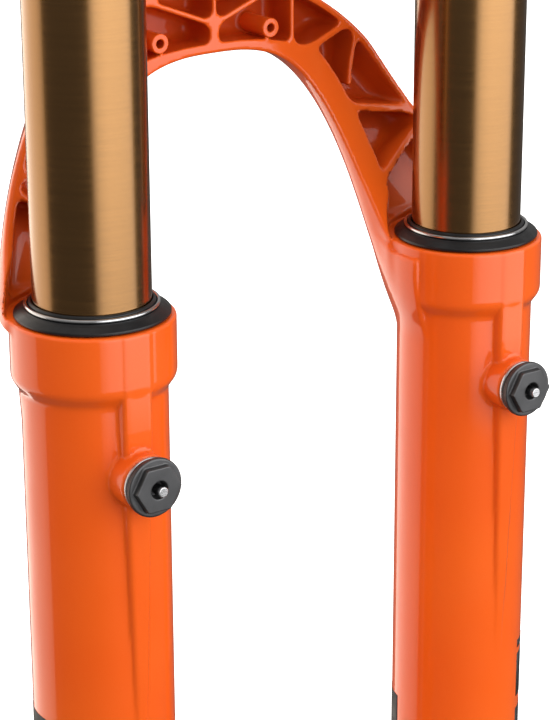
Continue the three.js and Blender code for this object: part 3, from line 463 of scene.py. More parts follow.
def thinned(mesh, faces):
    """The mesh with its quads collapsed to about that many triangles, coarsest where it is flattest."""
    quads = len(mesh.polygons)
    if 2 * quads <= faces:
        return mesh
    scratch = placed("scratch", mesh)
    modifier = scratch.modifiers.new("thin", "DECIMATE")
    modifier.ratio = faces / (2 * quads)
    view = bpy.context.evaluated_depsgraph_get()
    thin = bpy.data.meshes.new_from_object(scratch.evaluated_get(view))
    bpy.data.objects.remove(scratch)
    return thin


def field_mesh(name, field, axes, faces=190000):
    """A fine mesh of a field in the legs' frame."""
    points, quads = netted(blockwise(field, axes), axes)
    cell = min(np.diff(axis).min() for axis in axes)
    points, _ = settled(field, points, cell)
    mesh = thinned(mesh_from(name, points * MM, quads), faces)
    points, normals = settled(field, points_of(mesh) / MM, cell, rounds=2)
    mesh.vertices.foreach_set("co", (points * MM + ORIGIN).astype(np.float32).ravel())
    mesh.update()
    shade(mesh, normals)
    return mesh


def stations(*stretches):
    """Grid lines from stretches of (low, high, spacing), each starting where the last one ends."""
    lines = []
    for low, high, spacing in stretches:
        lines.append(np.linspace(low, high, max(2, round((high - low) / spacing) + 1))[:-1])
    lines.append([stretches[-1][1]])
    return np.concatenate(lines)


# ---------- the casting's arch
ARCH_HALF, ARCH_HEIGHT, ARCH_POWER = 50, 66.4, 2.75
ARCH_OUTLINE = (
    (0, 95.5), (24, 89), (46, 79), (60.5, 68), (73.5, 54), (81.8, 40), (89.9, 27), (96.8, 11), (101, 0),
)
ARCH_POLE = -30  # the height about which the outer edge is drawn as a radius against an angle
OUTLINE_FIT = np.polyfit(
    [math.atan2(z - ARCH_POLE, x) for x, z in ARCH_OUTLINE],
    [math.hypot(x, z - ARCH_POLE) for x, z in ARCH_OUTLINE],
    4,
)
UPRIGHT_Z = 60  # the arch's front and rear are upright above it
REAR_Y, FOOT_REAR_Y = -42, -10
FRONT_Y, FRONT_LOW_Y, FRONT_LOW_Z = -61, -12, -30
WALL_SHARE = 0.24
RIM = 2.4
RIBS = (
    ((0, 68), (0, 77), 3.6),
    ((0, 77), (0, 93), 1.6),
    ((0, 76.2), (30, 88), 1.8),
    ((32.2, 62), (32.2, 86), 1.7),
    ((33, 60), (58, 71), 2.6),
    ((55.8, 49), (60, 66), 1.7),
    ((55, 41), (84, 36.5), 2.8),
    ((52, 13), (87, 35), 2.2),
)
FENDER_POST = (22.5, 72.5)
TRIM_WAY = math.radians(30.8)  # forwards of straight outwards


def arch_inside(u, z):
    """Distance outwards from the arch's inner edge, which is a superellipse."""
    across = u / ARCH_HALF + 1e-4
    rise = np.maximum(z, 0) / ARCH_HEIGHT + 1e-4
    total = across**ARCH_POWER + rise**ARCH_POWER
    value = total ** (1 / ARCH_POWER)
    power = ARCH_POWER - 1
    slant = np.hypot(across**power / ARCH_HALF, rise**power / ARCH_HEIGHT)
    return (value - 1) * total / (value * slant)


def arch_outside(u, z):
    """Distance outwards from the arch's outer edge."""
    angle = np.clip(np.arctan2(z - ARCH_POLE, u), 0.1, math.pi / 2)
    return 0.98 * (np.hypot(u, z - ARCH_POLE) - np.polyval(OUTLINE_FIT, angle))


def arch_depths(y, z):
    """Distances in front of the arch's front, behind its rear and in front of its pockets' floor."""
    down = np.clip((UPRIGHT_Z - z) / UPRIGHT_Z, 0, 1)
    rear = REAR_Y + (FOOT_REAR_Y - REAR_Y) * down**1.7
    rear_lean = (FOOT_REAR_Y - REAR_Y) * 1.7 / UPRIGHT_Z * down**0.7
    up = (z - FRONT_LOW_Z) / (UPRIGHT_Z - FRONT_LOW_Z)
    up = 1 - np.maximum(1 - up, 0) ** 1.15
    front = FRONT_LOW_Y + (FRONT_Y - FRONT_LOW_Y) * np.clip(up, -0.2, 1)
    floor = front + WALL_SHARE * (rear - front)
    front_scale, rear_scale = 0.93, 1 / np.sqrt(1 + rear_lean**2)
    return (front - y) * front_scale, (y - rear) * rear_scale, (floor - y) * front_scale


def arch_field(u, y, z):
    inner = arch_inside(u, z)
    outer = arch_outside(u, z)
    front, rear, floor = arch_depths(y, z)
    body = smax(front, -inner, 13)
    body = smax(body, smax(outer, front, 8), 1)
    flange = 3.4 + 6.8 * np.minimum(u / 43, 1) ** 2.8
    flange = flange - 1.6 * np.clip((24 - z) / 20, 0, 1)
    reach = arch_reach(u, y, z)
    pocket = smax(smax(flange - inner, smax(outer, reach, 4) + RIM, 5), floor, 4)
    pocket = smax(pocket, 1.5 - z, 4)
    for start, end, thickness in RIBS:
        pocket = smax(pocket, thickness / 2 - beside(u, z, start, end)[0], 3)
    body = smax(smax(body, rear, 1.2), -pocket, 0.9)
    post = np.hypot(u - FENDER_POST[0], z - FENDER_POST[1])
    boss = smax(post - 3.1, slab(y, FRONT_Y + 3, REAR_Y + 0.2), 0.6)
    body = smin(body, boss, 2)
    body = smax(body, -disc(post, y, 2.2, REAR_Y - 13, REAR_Y + 3), 0.4)
    heel = past(u, z, (102.6, -9), 25, 9.6)
    instep = past(-u, z, (-49.6, -9), 25, 10.4) - 1.2 * np.maximum(z, 0)
    foot = smax(smax(heel, instep, 6), -34 - z, 6)
    return smax(smax(body, foot, 3), reach, 3)


def arch_reach(u, y, z):
    """Distance beyond the surface that trims the arch's outer front corner beside a leg."""
    outward = (u - LEG_X) * math.cos(TRIM_WAY) - y * math.sin(TRIM_WAY)
    rise = np.clip((z + 5) / 3.5, 0, 1)
    reach = 21.5 + 8.5 * rise**2 * (3 - 2 * rise) - 10.4 * (np.maximum(z, 0) / 52) ** 1.95
    return (outward - reach) * 0.8


# ---------- the casting's legs
TAPER_TOP, TAPER_HEIGHT, TAPER_IN = -285, 64, 7.8
RIDGE_FOOT, RIDGE_HEIGHT = -160, 128
COLLAR_STEP = 4.2  # the height over which a collar narrows to the leg below it


def leg_radius(z):
    """A leg's outer radius: plain down to the brake mount, then drawn in towards its foot."""
    down = np.clip((TAPER_TOP - z) / TAPER_HEIGHT, 0, 1.1)
    return LEG_R - TAPER_IN * down**2.6


def ridge_field(across, y, z):
    """The hollow rib cast along the back of a leg, which fades out downwards."""
    up = np.clip((z - RIDGE_FOOT) / RIDGE_HEIGHT, 0, 1)
    flank = np.abs(across) * 0.97 + (y - LEG_R) * 0.25 - 1.4 - 4.2 * up
    ridge = smax(smax(flank, y - LEG_R - 3.5 * up**0.7 + 0.5, 1.5), 12 - y, 1)
    return ridge + FAR * (z < RIDGE_FOOT - 2)


def foot_pad(across, y, z, away):
    """The raised pad on the inner front of a collar, where the arch's foot runs out."""
    raised = away - COLLAR_R - 1.5
    pad = smax(raised, past(raised, z, (0, -16), 14, 4.2), 2.5)
    return smax(smax(pad, z + 3.5, 1.4), smax(y - 6.5, across, 1), 1.2)


def leg_field(u, y, z):
    across = u - LEG_X
    away = np.hypot(across, y)
    body = smin(away - leg_radius(z), ridge_field(across, y, z), 0.5)
    body = smin(body, foot_pad(across, y, z, away), 1.2)
    step = past(away, z, (COLLAR_R, -COLLAR_HEIGHT), COLLAR_STEP, COLLAR_R - LEG_R)
    body = smin(body, smax(away - COLLAR_R, step, 0.9), 0.7)
    body = smax(body, z, 1.1)
    return smax(body, LEG_FOOT - z, 2)


def bored(solid, u, y, z):
    """Cuts the bores, the wiper's seat and the foot's counterbore out of a leg."""
    away = np.hypot(u - LEG_X, y)
    bore = smin(disc(away, z, BORE_R, LEG_FLOOR, 5), disc(away, z, WIPER_SEAT_R, -WIPER_SEAT_DEPTH, 5), 0.3)
    foot = smin(disc(away, z, 5.3, FOOT_SEAT - 3, 0), disc(away, z, 10, LEG_FOOT - 9, FOOT_SEAT), 0.3)
    return smax(solid, -np.minimum(bore, foot), 0.5)


def upper_end(solid, x, y, z):
    """Adds the arch and the bleed bosses to the legs, clears the way of the wipers and cuts the ports."""
    u = np.abs(x)
    off_leg, off_bleed = np.hypot(u - LEG_X, y), np.hypot(u - LEG_X, z - BLEED_Z)
    solid = smin(solid, arch_field(u, y, z), 5)
    solid = smin(solid, disc(off_bleed, y, 9.3, 12, 30.5), 0.9)
    solid = smax(solid, -disc(off_leg, z, COLLAR_R + 0.9, 0.35, 90), 0.7)
    return smax(solid, -disc(off_bleed, y, 3.6, 15, 40), 0.4)


def hose_boss(solid, x, y, z):
    """Adds the hose guide's boss to the back of the left leg, with the hole for its screw."""
    away = np.hypot(x - LEG_X, z - HOSE_Z)
    solid = smin(solid, disc(away, y, 5.5, 15, 27), 4)
    return smax(solid, -disc(away, y, 1.8, 21.5, 40), 0.3)


def dropout(u, y, z):
    """The block round the axle, with its gusset, on either leg."""
    block = tapered(y, z, (AXLE_Y, AXLE_Z), (0, -322), 14, 17)
    block = smax(block, slab(u, HUB_HALF, LUG_OUTER), 2.5)
    gusset = tapered(y, z, (-14, -286), (AXLE_Y + 2, AXLE_Z + 6), 7, 11.5)
    gusset = smax(gusset, slab(u, 63, 81), 5)
    return smin(block, gusset, 8)


def pinch_lug(x, y, z):
    along = np.hypot(x - PINCH_X, np.maximum(np.abs(z - (AXLE_Z - 11)) - 4.5, 0))
    return smax(along - 6.5, slab(y, AXLE_Y - 8, AXLE_Y + 9), 1.5)


def off_posts(x, z):
    """Distance from the nearer of the two brake posts' axes."""
    return np.minimum(np.hypot(x - BRAKE_X, z - BRAKE_LOW), np.hypot(x - BRAKE_X, z - BRAKE_HIGH))


def brake_mount(x, y, z):
    """The two brake posts and the web between them, on the left leg."""
    posts = smax(off_posts(x, z) - 8, slab(y, 6, 32), 0.8)
    arc = np.hypot(y - 62, z - (BRAKE_LOW + BRAKE_HIGH) / 2) - 44
    web = slab(z, BRAKE_LOW - 14, BRAKE_HIGH + 10, 6)
    web = smax(slab(x, BRAKE_X - 2.7, BRAKE_X + 2.7), web, 1.5)
    web = smax(smax(smax(web, y - 26, 3), 2 - y, 2), -arc, 2)
    return smin(posts, web, 5)


def lower_end(solid, x, y, z):
    """Adds the dropouts, brake mount and pinch lug to the legs, and cuts their holes."""
    u = np.abs(x)
    left = x > 0
    off_axle = np.hypot(y - AXLE_Y, z - AXLE_Z)
    solid = smin(solid, dropout(u, y, z), 9)
    solid = np.where(left, smin(solid, brake_mount(x, y, z), 7), smin(solid, pinch_lug(x, y, z), 3))
    spotface = smax(off_axle - 10.8, LUG_OUTER - u, 0.5) + FAR * left
    slit = smax(smax(np.abs(y - AXLE_Y) - 0.8, z - AXLE_Z, 0.3), slab(x, -86, -54), 0.3)
    cuts = (
        (disc(off_axle, u, 15.2, 20, HUB_HALF, 1), 0.8),
        (np.where(left, off_axle - 7.8, off_axle - 10.3), 0.5),
        (spotface, 0.6),
        (slit, 0.4),
        (disc(np.hypot(x - PINCH_X, z - PINCH_Z), y, 2.8, AXLE_Y - 20, AXLE_Y + 13), 0.4),
        (disc(off_posts(x, z), y, 2.6, 14, 40), 0.5),
    )
    for cut, k in cuts:
        solid = smax(solid, -cut, k)
    return solid


def casting_field(x, y, z):
    solid = leg_field(np.abs(x), y, z)
    ends = (
        (upper_end, z > -60), (lower_end, z < -190), (hose_boss, (z > -200) & (z < -140) & (x > 0)),
    )
    for shape, near in ends:
        if near.any():
            solid[near] = shape(solid[near], x[near], y[near], z[near])
    return bored(solid, np.abs(x), y, z)


def casting_mesh():
    fine, seam = ((1.1, 0.55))
    inner = LEG_X - 31
    side = stations((inner, LEG_X + 28.6, fine))
    x = np.concatenate([-side[::-1], stations((-inner, inner, fine))[1:-1], side])
    y = stations((-63, -21.6, fine), (-21.6, -18.4, seam), (-18.4, 34, fine))
    z = stations(
        (-352, -205, fine * 1.1), (-205, -185, fine * 2), (-185, -160, fine * 1.1), (-160, -62, fine * 4),
        (-62, -30, fine), (-30, -18, fine * 0.8), (-18, -3, fine * 1.5), (-3, 1.2, 0.6), (1.2, 98, fine),
    )
    return field_mesh("lower_legs_casting", casting_field, (x, y, z), 192000)


# ---------- the crown
CROWN_LOW, CROWN_END_TOP = -59, -14


def crown_field(x, y, z):
    """The forged crown, drawn in the frame's own axes about the steerer."""
    y, z = y - STEERER_BACK, z - STEERER_HIGH
    u = np.abs(x)
    away = np.hypot(x, y)
    off_leg = np.hypot(u - LEG_X, y + STEERER_BACK)
    body = disc(away, z, 26, -50, 0, 1.2)
    seat_neck = smax(away - 23.2, slab(z, -60, 20), 1)
    body = smax(body, -smax(slab(z, -9, -3.2, 1), -seat_neck, 2), 1.2)
    share = np.clip(u / LEG_X, 0, 1)
    plan = tapered(u, y, (0, -1), (LEG_X, -STEERER_BACK), 23.5, 20)
    top = -6.5 - 10.5 * share**1.4
    bottom = -45 - 9 * share**1.2
    arm = smax(smax(plan, z - top, 9), bottom - z, 5)
    body = smin(body, arm, 5)
    body = smin(body, disc(off_leg, z, 24.6, CROWN_LOW, CROWN_END_TOP, 2.6), 7)
    pocket = tapered(u, y, (37, -10), (44, -13), 10.5, 10.5)
    pocket = smax(pocket, slab(z, -70, -32), 5)
    scallop = smax(tapered(u, y, (30, -9), (50, -15.5), 9, 7), top - 3.2 - z, 4)
    body = smax(smax(body, -pocket, 1.6), -scallop, 3)
    body = smax(body, 20.05 - away, 0.4)
    return smax(body, STANCHION_R + 0.15 - off_leg, 1)


def crown_mesh():
    fine = 1.15
    x = stations((-103.5, 103.5, fine))
    y = stations((-51, 29, fine)) + STEERER_BACK
    z = stations((-62, -11, fine), (-11, 3, 0.7)) + STEERER_HIGH

    return field_mesh("crown_forging", crown_field, (x, y, z), 110000)


# ---------- milled and moulded pieces
def boxed_mesh(name, field, low, high, spacing, faces):
    """A mesh of a field inside a box, on a grid two cells larger on each side."""
    spacing = spacing * 1
    axes = [stations((a - 2 * spacing, b + 2 * spacing, spacing)) for a, b in zip(low, high)]
    return field_mesh(name, field, axes, faces)


def centred_mesh(name, shape, at, reach, low, high, spacing, faces, axis=2, forward=1):
    """A mesh of a shape about an axis through a point.

    The shape is a field of the two offsets from the axis, the distance from it and the height along it.
    """
    first, second = [k for k in range(3) if k != axis]

    def field(*place):
        b, c = place[first] - at[first], place[second] - at[second]
        return shape(b, c, np.hypot(b, c), (place[axis] - at[axis]) * forward)

    corners = np.array(at) + np.array([[-reach], [reach]])
    corners[:, axis] = at[axis] + np.sort(forward * np.array((low, high)))
    return boxed_mesh(name, field, *corners, spacing, faces)


def bleed_valve_mesh(side, at):
    """The knurled flange, hexagon and recess of a bleed valve, with its threaded stem."""

    def shape(b, c, away, y):
        flange = disc(away, y, 9.75, 33.4, 35.3, 0.7)
        groove = np.hypot(away - 9.9, y - 34.35) - 0.28
        flange = smax(flange, -groove, 0.2)
        hexagon = smax(hexagonal(b, c, 14.4, 0.7), slab(y, 34, 37.5, 0.35), 0.35)
        chamfer = (away - 8.35 + (y - 37.5) * 1.7) / 2
        hexagon = smax(hexagon, chamfer, 0.3)
        stem = disc(away, y, 3.3, 22, 34, 0.5)
        body = smin(smin(flange, hexagon, 0.45), stem, 0.4)
        body = smax(body, -disc(away, y, 2.9, 33.6, 42, 0.3), 0.5)
        return smax(body, -disc(away, y, 1.5, 18, 40, 0.3), 0.2)

    return centred_mesh(f"bleed_{side}", shape, at, 9.9, 21.8, 37.6, 0.3, 60000, axis=1)


def waves(b, c, teeth, depth, power=1.0):
    """How far flutes or knurling cut into a round edge, at each angle about it."""
    return depth * (0.5 + 0.5 * np.cos(teeth * np.arctan2(c, b))) ** power


def knob_mesh(name, at, radius, low, high, teeth, depth, hollows=(), spacing=0.4, dimple=0.0):
    """A fluted knob about a vertical axis, with a dished top and hollows of (radius, bottom, top)."""

    def shape(b, c, away, z):
        grip = (away - radius + waves(b, c, teeth, depth, 1.5)) * 0.85
        body = smax(grip, slab(z, low, high, 1.4), 1.4)
        if dimple:
            body = smax(body, -disc(away, z, radius * 0.62, high - dimple, high + 9, 0.6), 0.8)
        for inner, bottom, top in hollows:
            body = smax(body, -disc(away, z, inner, bottom, top, 0.4), 0.4)
        return body

    return centred_mesh(name, shape, (*at, 0), radius, low, high, spacing, 60000)


def hexagon_mesh(name, at, across, low, high, bore):
    """A hexagonal nut or dial about a vertical axis, chamfered round both ends."""

    def shape(b, c, away, z):
        body = smax(hexagonal(b, c, across, 0.6), slab(z, low, high, 0.4), 0.5)
        lift = np.maximum(z - high, low - z)
        body = smax(body, (away - across * 0.565 + lift * 1.7) / 2, 0.4)
        return smax(body, bore - away, 0.4)

    return centred_mesh(name, shape, (*at, 0), across * 0.6, low, high, 0.45, 40000)


THREAD_PITCH, THREAD_DEPTH = 1.5, 0.35


def axle_mesh():
    """The hollow axle: a head with a hexagon socket on the right, and a threaded end on the left."""

    def field(x, y, z):
        b, c = y - AXLE_Y, z - AXLE_Z
        away = np.hypot(b, c)
        head = smax(away - 9.8, slab(x, -88, -86.3, 0.9), 0.9)
        cone = smax(away - 9.8 - (x + 86.3) * 0.9, slab(x, -86.6, -85.8, 0.3), 0.3)
        thread = THREAD_DEPTH * (0.5 + 0.5 * np.cos(2 * math.pi * x / THREAD_PITCH - np.arctan2(c, b)))
        thread = thread * np.clip((x - 56) / 2, 0, 1) * np.clip((79.5 - x) / 2, 0, 1)
        shank = smax(away - 7.5 + thread, slab(x, -87, 80, 0.9), 0.9)
        body = smin(np.minimum(head, cone), shank, 0.8)
        socket = smax(hexagonal(b, c, 6, 0.3), slab(x, -92, -79, 0.4), 0.3)
        lead_in = (away - 3.9 - (-87.6 - x) * 1.2) * 0.64
        body = smax(body, -np.minimum(socket, smax(lead_in, -92 - x, 1)), 0.3)
        return smax(body, -np.minimum(disc(away, x, 4.4, -72, 90), disc(away, x, 2.2, -84, -60)), 0.3)

    step = 1
    x = stations((-89, -78, 0.45 * step), (-78, 54, 3), (54, 81, 0.3 * step))
    y = stations((AXLE_Y - 10.6, AXLE_Y + 10.6, 0.5 * step))
    z = stations((AXLE_Z - 10.6, AXLE_Z + 10.6, 0.5 * step))
    return field_mesh("axle", field, (x, y, z), 90000)


def hose_guide_mesh():
    """The clip that holds the brake hose against the left leg."""
    thick, hose_at = 4.6, -11

    def field(x, y, z):
        b, c, up = x - LEG_X, z - HOSE_Z, y - HOSE_FACE
        base = smax(tapered(b, c, (0, 0), (hose_at, 0), 6, 5), slab(up, 0, thick, 1.2), 1.2)
        channel = np.hypot(b - hose_at, up - 3.4) - 2.6
        mouth = smax(np.abs(b - hose_at) - 2.0, 2 - up, 0.5)
        body = smax(base, -smin(channel, mouth, 0.8), 0.7)
        return smax(body, 1.9 - np.hypot(b, c), 0.3)

    low, high = (LEG_X - 16.2, HOSE_FACE, HOSE_Z - 6), (LEG_X + 6, HOSE_FACE + thick, HOSE_Z + 6)
    return boxed_mesh("hose_guide", field, low, high, 0.35, 40000)


def cap_screw_mesh(name, at, shank_r, head_r, shank_low, seat, head_high, socket, forward=1):
    """A socket-headed screw that points along the Y axis."""

    def shape(b, c, away, along):
        shank = disc(away, along, shank_r, shank_low, seat + 0.5, 0.5)
        body = smin(shank, disc(away, along, head_r, seat, head_high, 0.7), 0.3)
        knurl = waves(b, c, 28, 0.12) * (away > head_r * 0.8)
        depth = (head_high - seat) * 0.6
        hole = smax(hexagonal(b, c, socket, 0.2), head_high - depth - along, 0.2)
        return smax(body + knurl, -hole, 0.25)

    return centred_mesh(name, shape, at, head_r, shank_low, head_high, 0.3, 30000, 1, forward)


# ---------- procedural materials
class Look(Tree):
    """A Principled material whose colour, roughness and relief come from noise in the frame's own space."""

    def __init__(self, name, metallic=0.0, **sockets):
        self.material = bpy.data.materials.new(name)
        super().__init__(self.material, emptied=False)
        self.shader = self.nodes["Principled BSDF"]
        self.relief = None
        self.set(Metallic=metallic, **sockets)

    def set(self, **sockets):
        for socket, source in sockets.items():
            self.feed(self.shader.inputs[socket.replace("_", " ")], source)

    def place(self):
        return self.node("TexCoord", output="Object")

    def noise(self, scale, detail=3.0, stretch=(1, 1, 1)):
        moved = self.node("VectorMath", self.place(), stretch, operation="MULTIPLY")
        return self.node("TexNoise", moved, sockets={"Scale": scale, "Detail": detail}, output="Fac")

    def spread(self, source, low=0.0, high=1.0, start=0.35, end=0.65):
        return self.node("MapRange", source, start, end, low, high)

    def cloud(self, scale, detail, *span):
        """Noise spread over a span of values."""
        return self.spread(self.noise(scale, detail), *span)

    def math(self, operation, *sources):
        return self.node("Math", *sources, operation=operation)

    def mixed(self, share, first, second):
        return self.node("Mix", sockets={0: share, 6: first, 7: second}, output=2, data_type="RGBA")

    def bump(self, height, distance, strength=1.0):
        sockets = {"Strength": strength, "Distance": distance, "Height": height, "Normal": self.relief}
        self.relief = self.node("Bump", sockets=sockets)
        self.set(Normal=self.relief)

    def edge_wear_and_sheen(self, start, end, scale, most):
        """Patchy lighter colour along outer edges, where the surface is most pointed: wear, and on the
        orange paint a painted highlight.
        """
        edges = self.spread(self.node("NewGeometry", output="Pointiness"), 0.0, 1.0, start, end)
        return self.math("MULTIPLY", edges, self.cloud(scale, 4, 0.0, most))

    def painted_recess_shade(self, reach):
        """From 0 in the open to 1 deep inside a pocket, where painted shade darkens the surface."""
        reached = {"Distance": reach}
        light = self.node("AmbientOcclusion", sockets=reached, output="AO", only_local=True, samples=6)
        return self.spread(light, 0.75, 0.0, 0.35, 0.85)


def rgb(red, green, blue):
    return (red, green, blue, 1.0)


TURNED = (0.05, 0.05, 3.0)  # stretches noise into the fine rings that turning leaves


def orange_paint():
    look = Look("orange_paint", Coat_Roughness=0.05, Coat_IOR=1.5, Specular_IOR_Level=0.12)
    base = look.mixed(look.cloud(14, 2), rgb(0.93, 0.112, 0.007), rgb(0.97, 0.134, 0.010))
    flecks = look.cloud(5200, 1, 0.0, 1.0, 0.55, 0.72)
    base = look.mixed(look.math("MULTIPLY", flecks, 0.10), base, rgb(1.0, 0.30, 0.06))
    # painted highlight: the paint's edges are lightened to a pinker orange that stands for the coat's
    # reflection
    base = look.mixed(look.edge_wear_and_sheen(0.53, 0.62, 160, 0.35), base, rgb(1.0, 0.24, 0.07))
    # painted shade: ambient occlusion darkens the colour to a deep red and thins the coat deep in the
    # pockets
    recess = look.painted_recess_shade(0.022)
    look.set(
        Base_Color=look.mixed(recess, base, rgb(0.46, 0.040, 0.005)),
        Coat_Weight=look.math("MULTIPLY_ADD", recess, -0.85, 0.9),
        Roughness=look.cloud(60, 4, 0.30, 0.42),
    )
    look.bump(look.noise(700, 2), 0.00006, 0.35)
    look.bump(look.noise(90, 3), 0.0003, 0.12)
    return look.material


def gold_anodised():
    look = Look("gold_anodised", metallic=1.0, Coat_Weight=0.6, Coat_IOR=1.45, Coat_Roughness=0.12)
    drift = look.spread(look.noise(9, 3, (1, 1, 0.3)))
    base = look.mixed(drift, rgb(0.340, 0.172, 0.056), rgb(0.365, 0.186, 0.064))
    grain = look.cloud(3500, 2, 0.0, 0.22, 0.4, 0.7)
    lines = look.noise(900, 3, TURNED)
    look.set(
        Base_Color=look.mixed(grain, base, rgb(0.24, 0.115, 0.035)),
        Roughness=look.spread(lines, 0.20, 0.27),
    )
    look.bump(lines, 0.00002, 0.25)
    return look.material


def anodised(name, dark, light, *rough):
    look = Look(name, metallic=0.85)
    base = look.mixed(look.cloud(120, 4), dark, light)
    base = look.mixed(look.edge_wear_and_sheen(0.54, 0.66, 420, 0.5), base, rgb(0.30, 0.30, 0.31))
    look.set(Base_Color=base, Roughness=look.cloud(300, 4, *rough))
    look.bump(look.noise(2600, 2), 0.00003, 0.5)
    return look.material


def bare_metal(name, dark, light, *rough):
    look = Look(name, metallic=1.0)
    lines = look.noise(1400, 3, TURNED)
    look.set(Base_Color=look.mixed(look.spread(lines), dark, light), Roughness=look.cloud(200, 4, *rough))
    look.bump(lines, 0.00004, 0.4)
    return look.material


def black_rubber():
    look = Look("black_rubber")
    base = look.mixed(look.cloud(180, 4), rgb(0.005, 0.005, 0.006), rgb(0.009, 0.009, 0.010))
    base = look.mixed(look.edge_wear_and_sheen(0.52, 0.60, 600, 0.4), base, rgb(0.03, 0.03, 0.03))
    look.set(Base_Color=base, Roughness=look.cloud(240, 4, 0.32, 0.44))
    look.bump(look.noise(2400, 3), 0.00005, 0.5)
    return look.material


def black_plastic():
    look = Look("black_plastic")
    base = look.mixed(look.cloud(90, 3), rgb(0.016, 0.016, 0.018), rgb(0.028, 0.028, 0.030))
    look.set(Base_Color=base, Roughness=look.cloud(300, 3, 0.45, 0.60))
    look.bump(look.noise(1500, 3), 0.00008, 0.6)
    return look.material


def grey_foam():
    look = Look("grey_foam", Roughness=0.95)
    cells = look.node("TexVoronoi", look.place(), sockets={"Scale": 1400}, output="Distance")
    look.set(Base_Color=look.mixed(cells, rgb(0.02, 0.02, 0.022), rgb(0.10, 0.10, 0.11)))
    look.bump(cells, 0.0004, 0.8)
    return look.material


# for each look, its darker and lighter colour, and its least and greatest roughness
ANODISED = {
    "black_anodised": (rgb(0.020, 0.020, 0.022), rgb(0.034, 0.034, 0.037), 0.30, 0.42),
    "satin_anodised": (rgb(0.085, 0.085, 0.088), rgb(0.110, 0.110, 0.113), 0.34, 0.44),
    "blue_anodised": (rgb(0.010, 0.060, 0.300), rgb(0.016, 0.090, 0.400), 0.30, 0.42),
    "red_anodised": (rgb(0.300, 0.008, 0.006), rgb(0.420, 0.014, 0.010), 0.30, 0.42),
}
BARE_METALS = {
    "bare_aluminium": (rgb(0.52, 0.53, 0.55), rgb(0.70, 0.71, 0.73), 0.22, 0.36),
    "polished_steel": (rgb(0.56, 0.56, 0.57), rgb(0.72, 0.72, 0.73), 0.14, 0.26),
    "valve_brass": (rgb(0.52, 0.34, 0.10), rgb(0.66, 0.46, 0.17), 0.22, 0.36),
    "bushing_bronze": (rgb(0.24, 0.16, 0.07), rgb(0.34, 0.24, 0.11), 0.4, 0.6),
}
LOOKS = {
    "orange_paint": orange_paint(), "gold_anodised": gold_anodised(), "black_rubber": black_rubber(),
    "black_plastic": black_plastic(), "grey_foam": grey_foam(),
    **{name: anodised(name, *values) for name, values in ANODISED.items()},
    **{name: bare_metal(name, *values) for name, values in BARE_METALS.items()},
}


# ---------- pieces
def put(name, mesh, body, slot, *nodes, look=None):
    return add_piece(name, mesh, body, LOOKS[look or slot], slot, nodes or (name,))


def ring(r_in, r_out, low, high):
    """The outline of a plain tube."""
    return [(r_in, low), (r_out, low), (r_out, high), (r_in, high)]


def wire_mesh(name, radius, wire, height, at, sides=160):
    """A ring of round wire."""
    outward = directions(np.arange(16) * math.pi / 8)[:, :2]
    return turned(name, outward * wire + np.array((radius, height)), outward, at, sides)


def add_casting():
    put("lower_legs_casting", casting_mesh(), "lowers", "orange_paint", "lower_legs")
    for side, sign in SIDES:
        at = (sign * FENDER_POST[0], 0, FENDER_POST[1])
        mesh = turned_mesh("post", ring(1.45, 3.35, REAR_Y - 15, REAR_Y + 0.7), at, 0.45, 48, "Y")
        put(f"mudguard_post_{side}", mesh, "lowers", "orange_paint", "lower_legs")


# the bars by side: their ends in degrees from straight outwards to the rear, and their heights
PRINT_THICKNESS = 0.12
PRINT_BARS = {
    "left": [((-32, 28), (-168, -135.5)), ((-32, 28), (-205, -174))],
    "right": [
        ((-50, 59), (-156, -153)), ((-50, 59), (-176, -158.5)), ((-50, 59), (-205, -181)),
        ((194, 235), (-215, -176)),
    ],
}


def bar_mesh(sign, angles, heights, steps=24):
    """A thin printed bar bent round a leg."""
    turn = np.radians(np.linspace(*angles, steps))[:, None]
    radius, height = np.array(ring(LEG_R - 0.4, LEG_R + PRINT_THICKNESS, *heights)).T
    around = sign * (LEG_X + radius * np.cos(turn)), radius * np.sin(turn), height + 0 * turn
    index = np.arange(4 * steps).reshape(steps, 4)
    faces = np.concatenate([wrapped(index), index[:1], index[-1:, ::-1]])
    return mesh_from("bar", np.stack(around, -1).reshape(-1, 3) * MM + ORIGIN, faces[:, ::sign])


def add_print():
    """Plain bars where a maker's lettering would be."""
    for side, sign in SIDES:
        for index, (angles, heights) in enumerate(PRINT_BARS[side]):
            mesh = bar_mesh(sign, angles, heights)
            put(f"print_bar_{side}_{index}", mesh, "lowers", "black_plastic", "lower_legs")


def add_crown_and_steerer():
    put("crown_forging", crown_mesh(), "upper", "black_anodised", "crown")
    base, top = STEERER_HIGH - 49, STEERER_HIGH + 254
    outline = [
        (16.2, base), (19.9, base, 0.6), (19.9, STEERER_HIGH + 22, 6), (14.3, STEERER_HIGH + 95, 6),
        (14.3, top, 0.9), (12, top, 0.5), (12, STEERER_HIGH + 95, 6), (16.2, STEERER_HIGH + 22, 6),
    ]
    mesh = turned_mesh("steerer", outline, (0, STEERER_BACK, 0), 0.4, 96)
    put("steerer", mesh, "upper", "black_anodised", "steerer_tube")


def add_stanchions():
    outline = ring(STANCHION_R - 2, STANCHION_R, -130, 241)
    for side, sign in SIDES:
        name = f"stanchion_tube_{side}"
        mesh = turned_mesh(name, outline, (sign * LEG_X, 0, 0), 0.4, 160)
        put(name, mesh, "upper", "gold_anodised", f"stanchion_{side}")


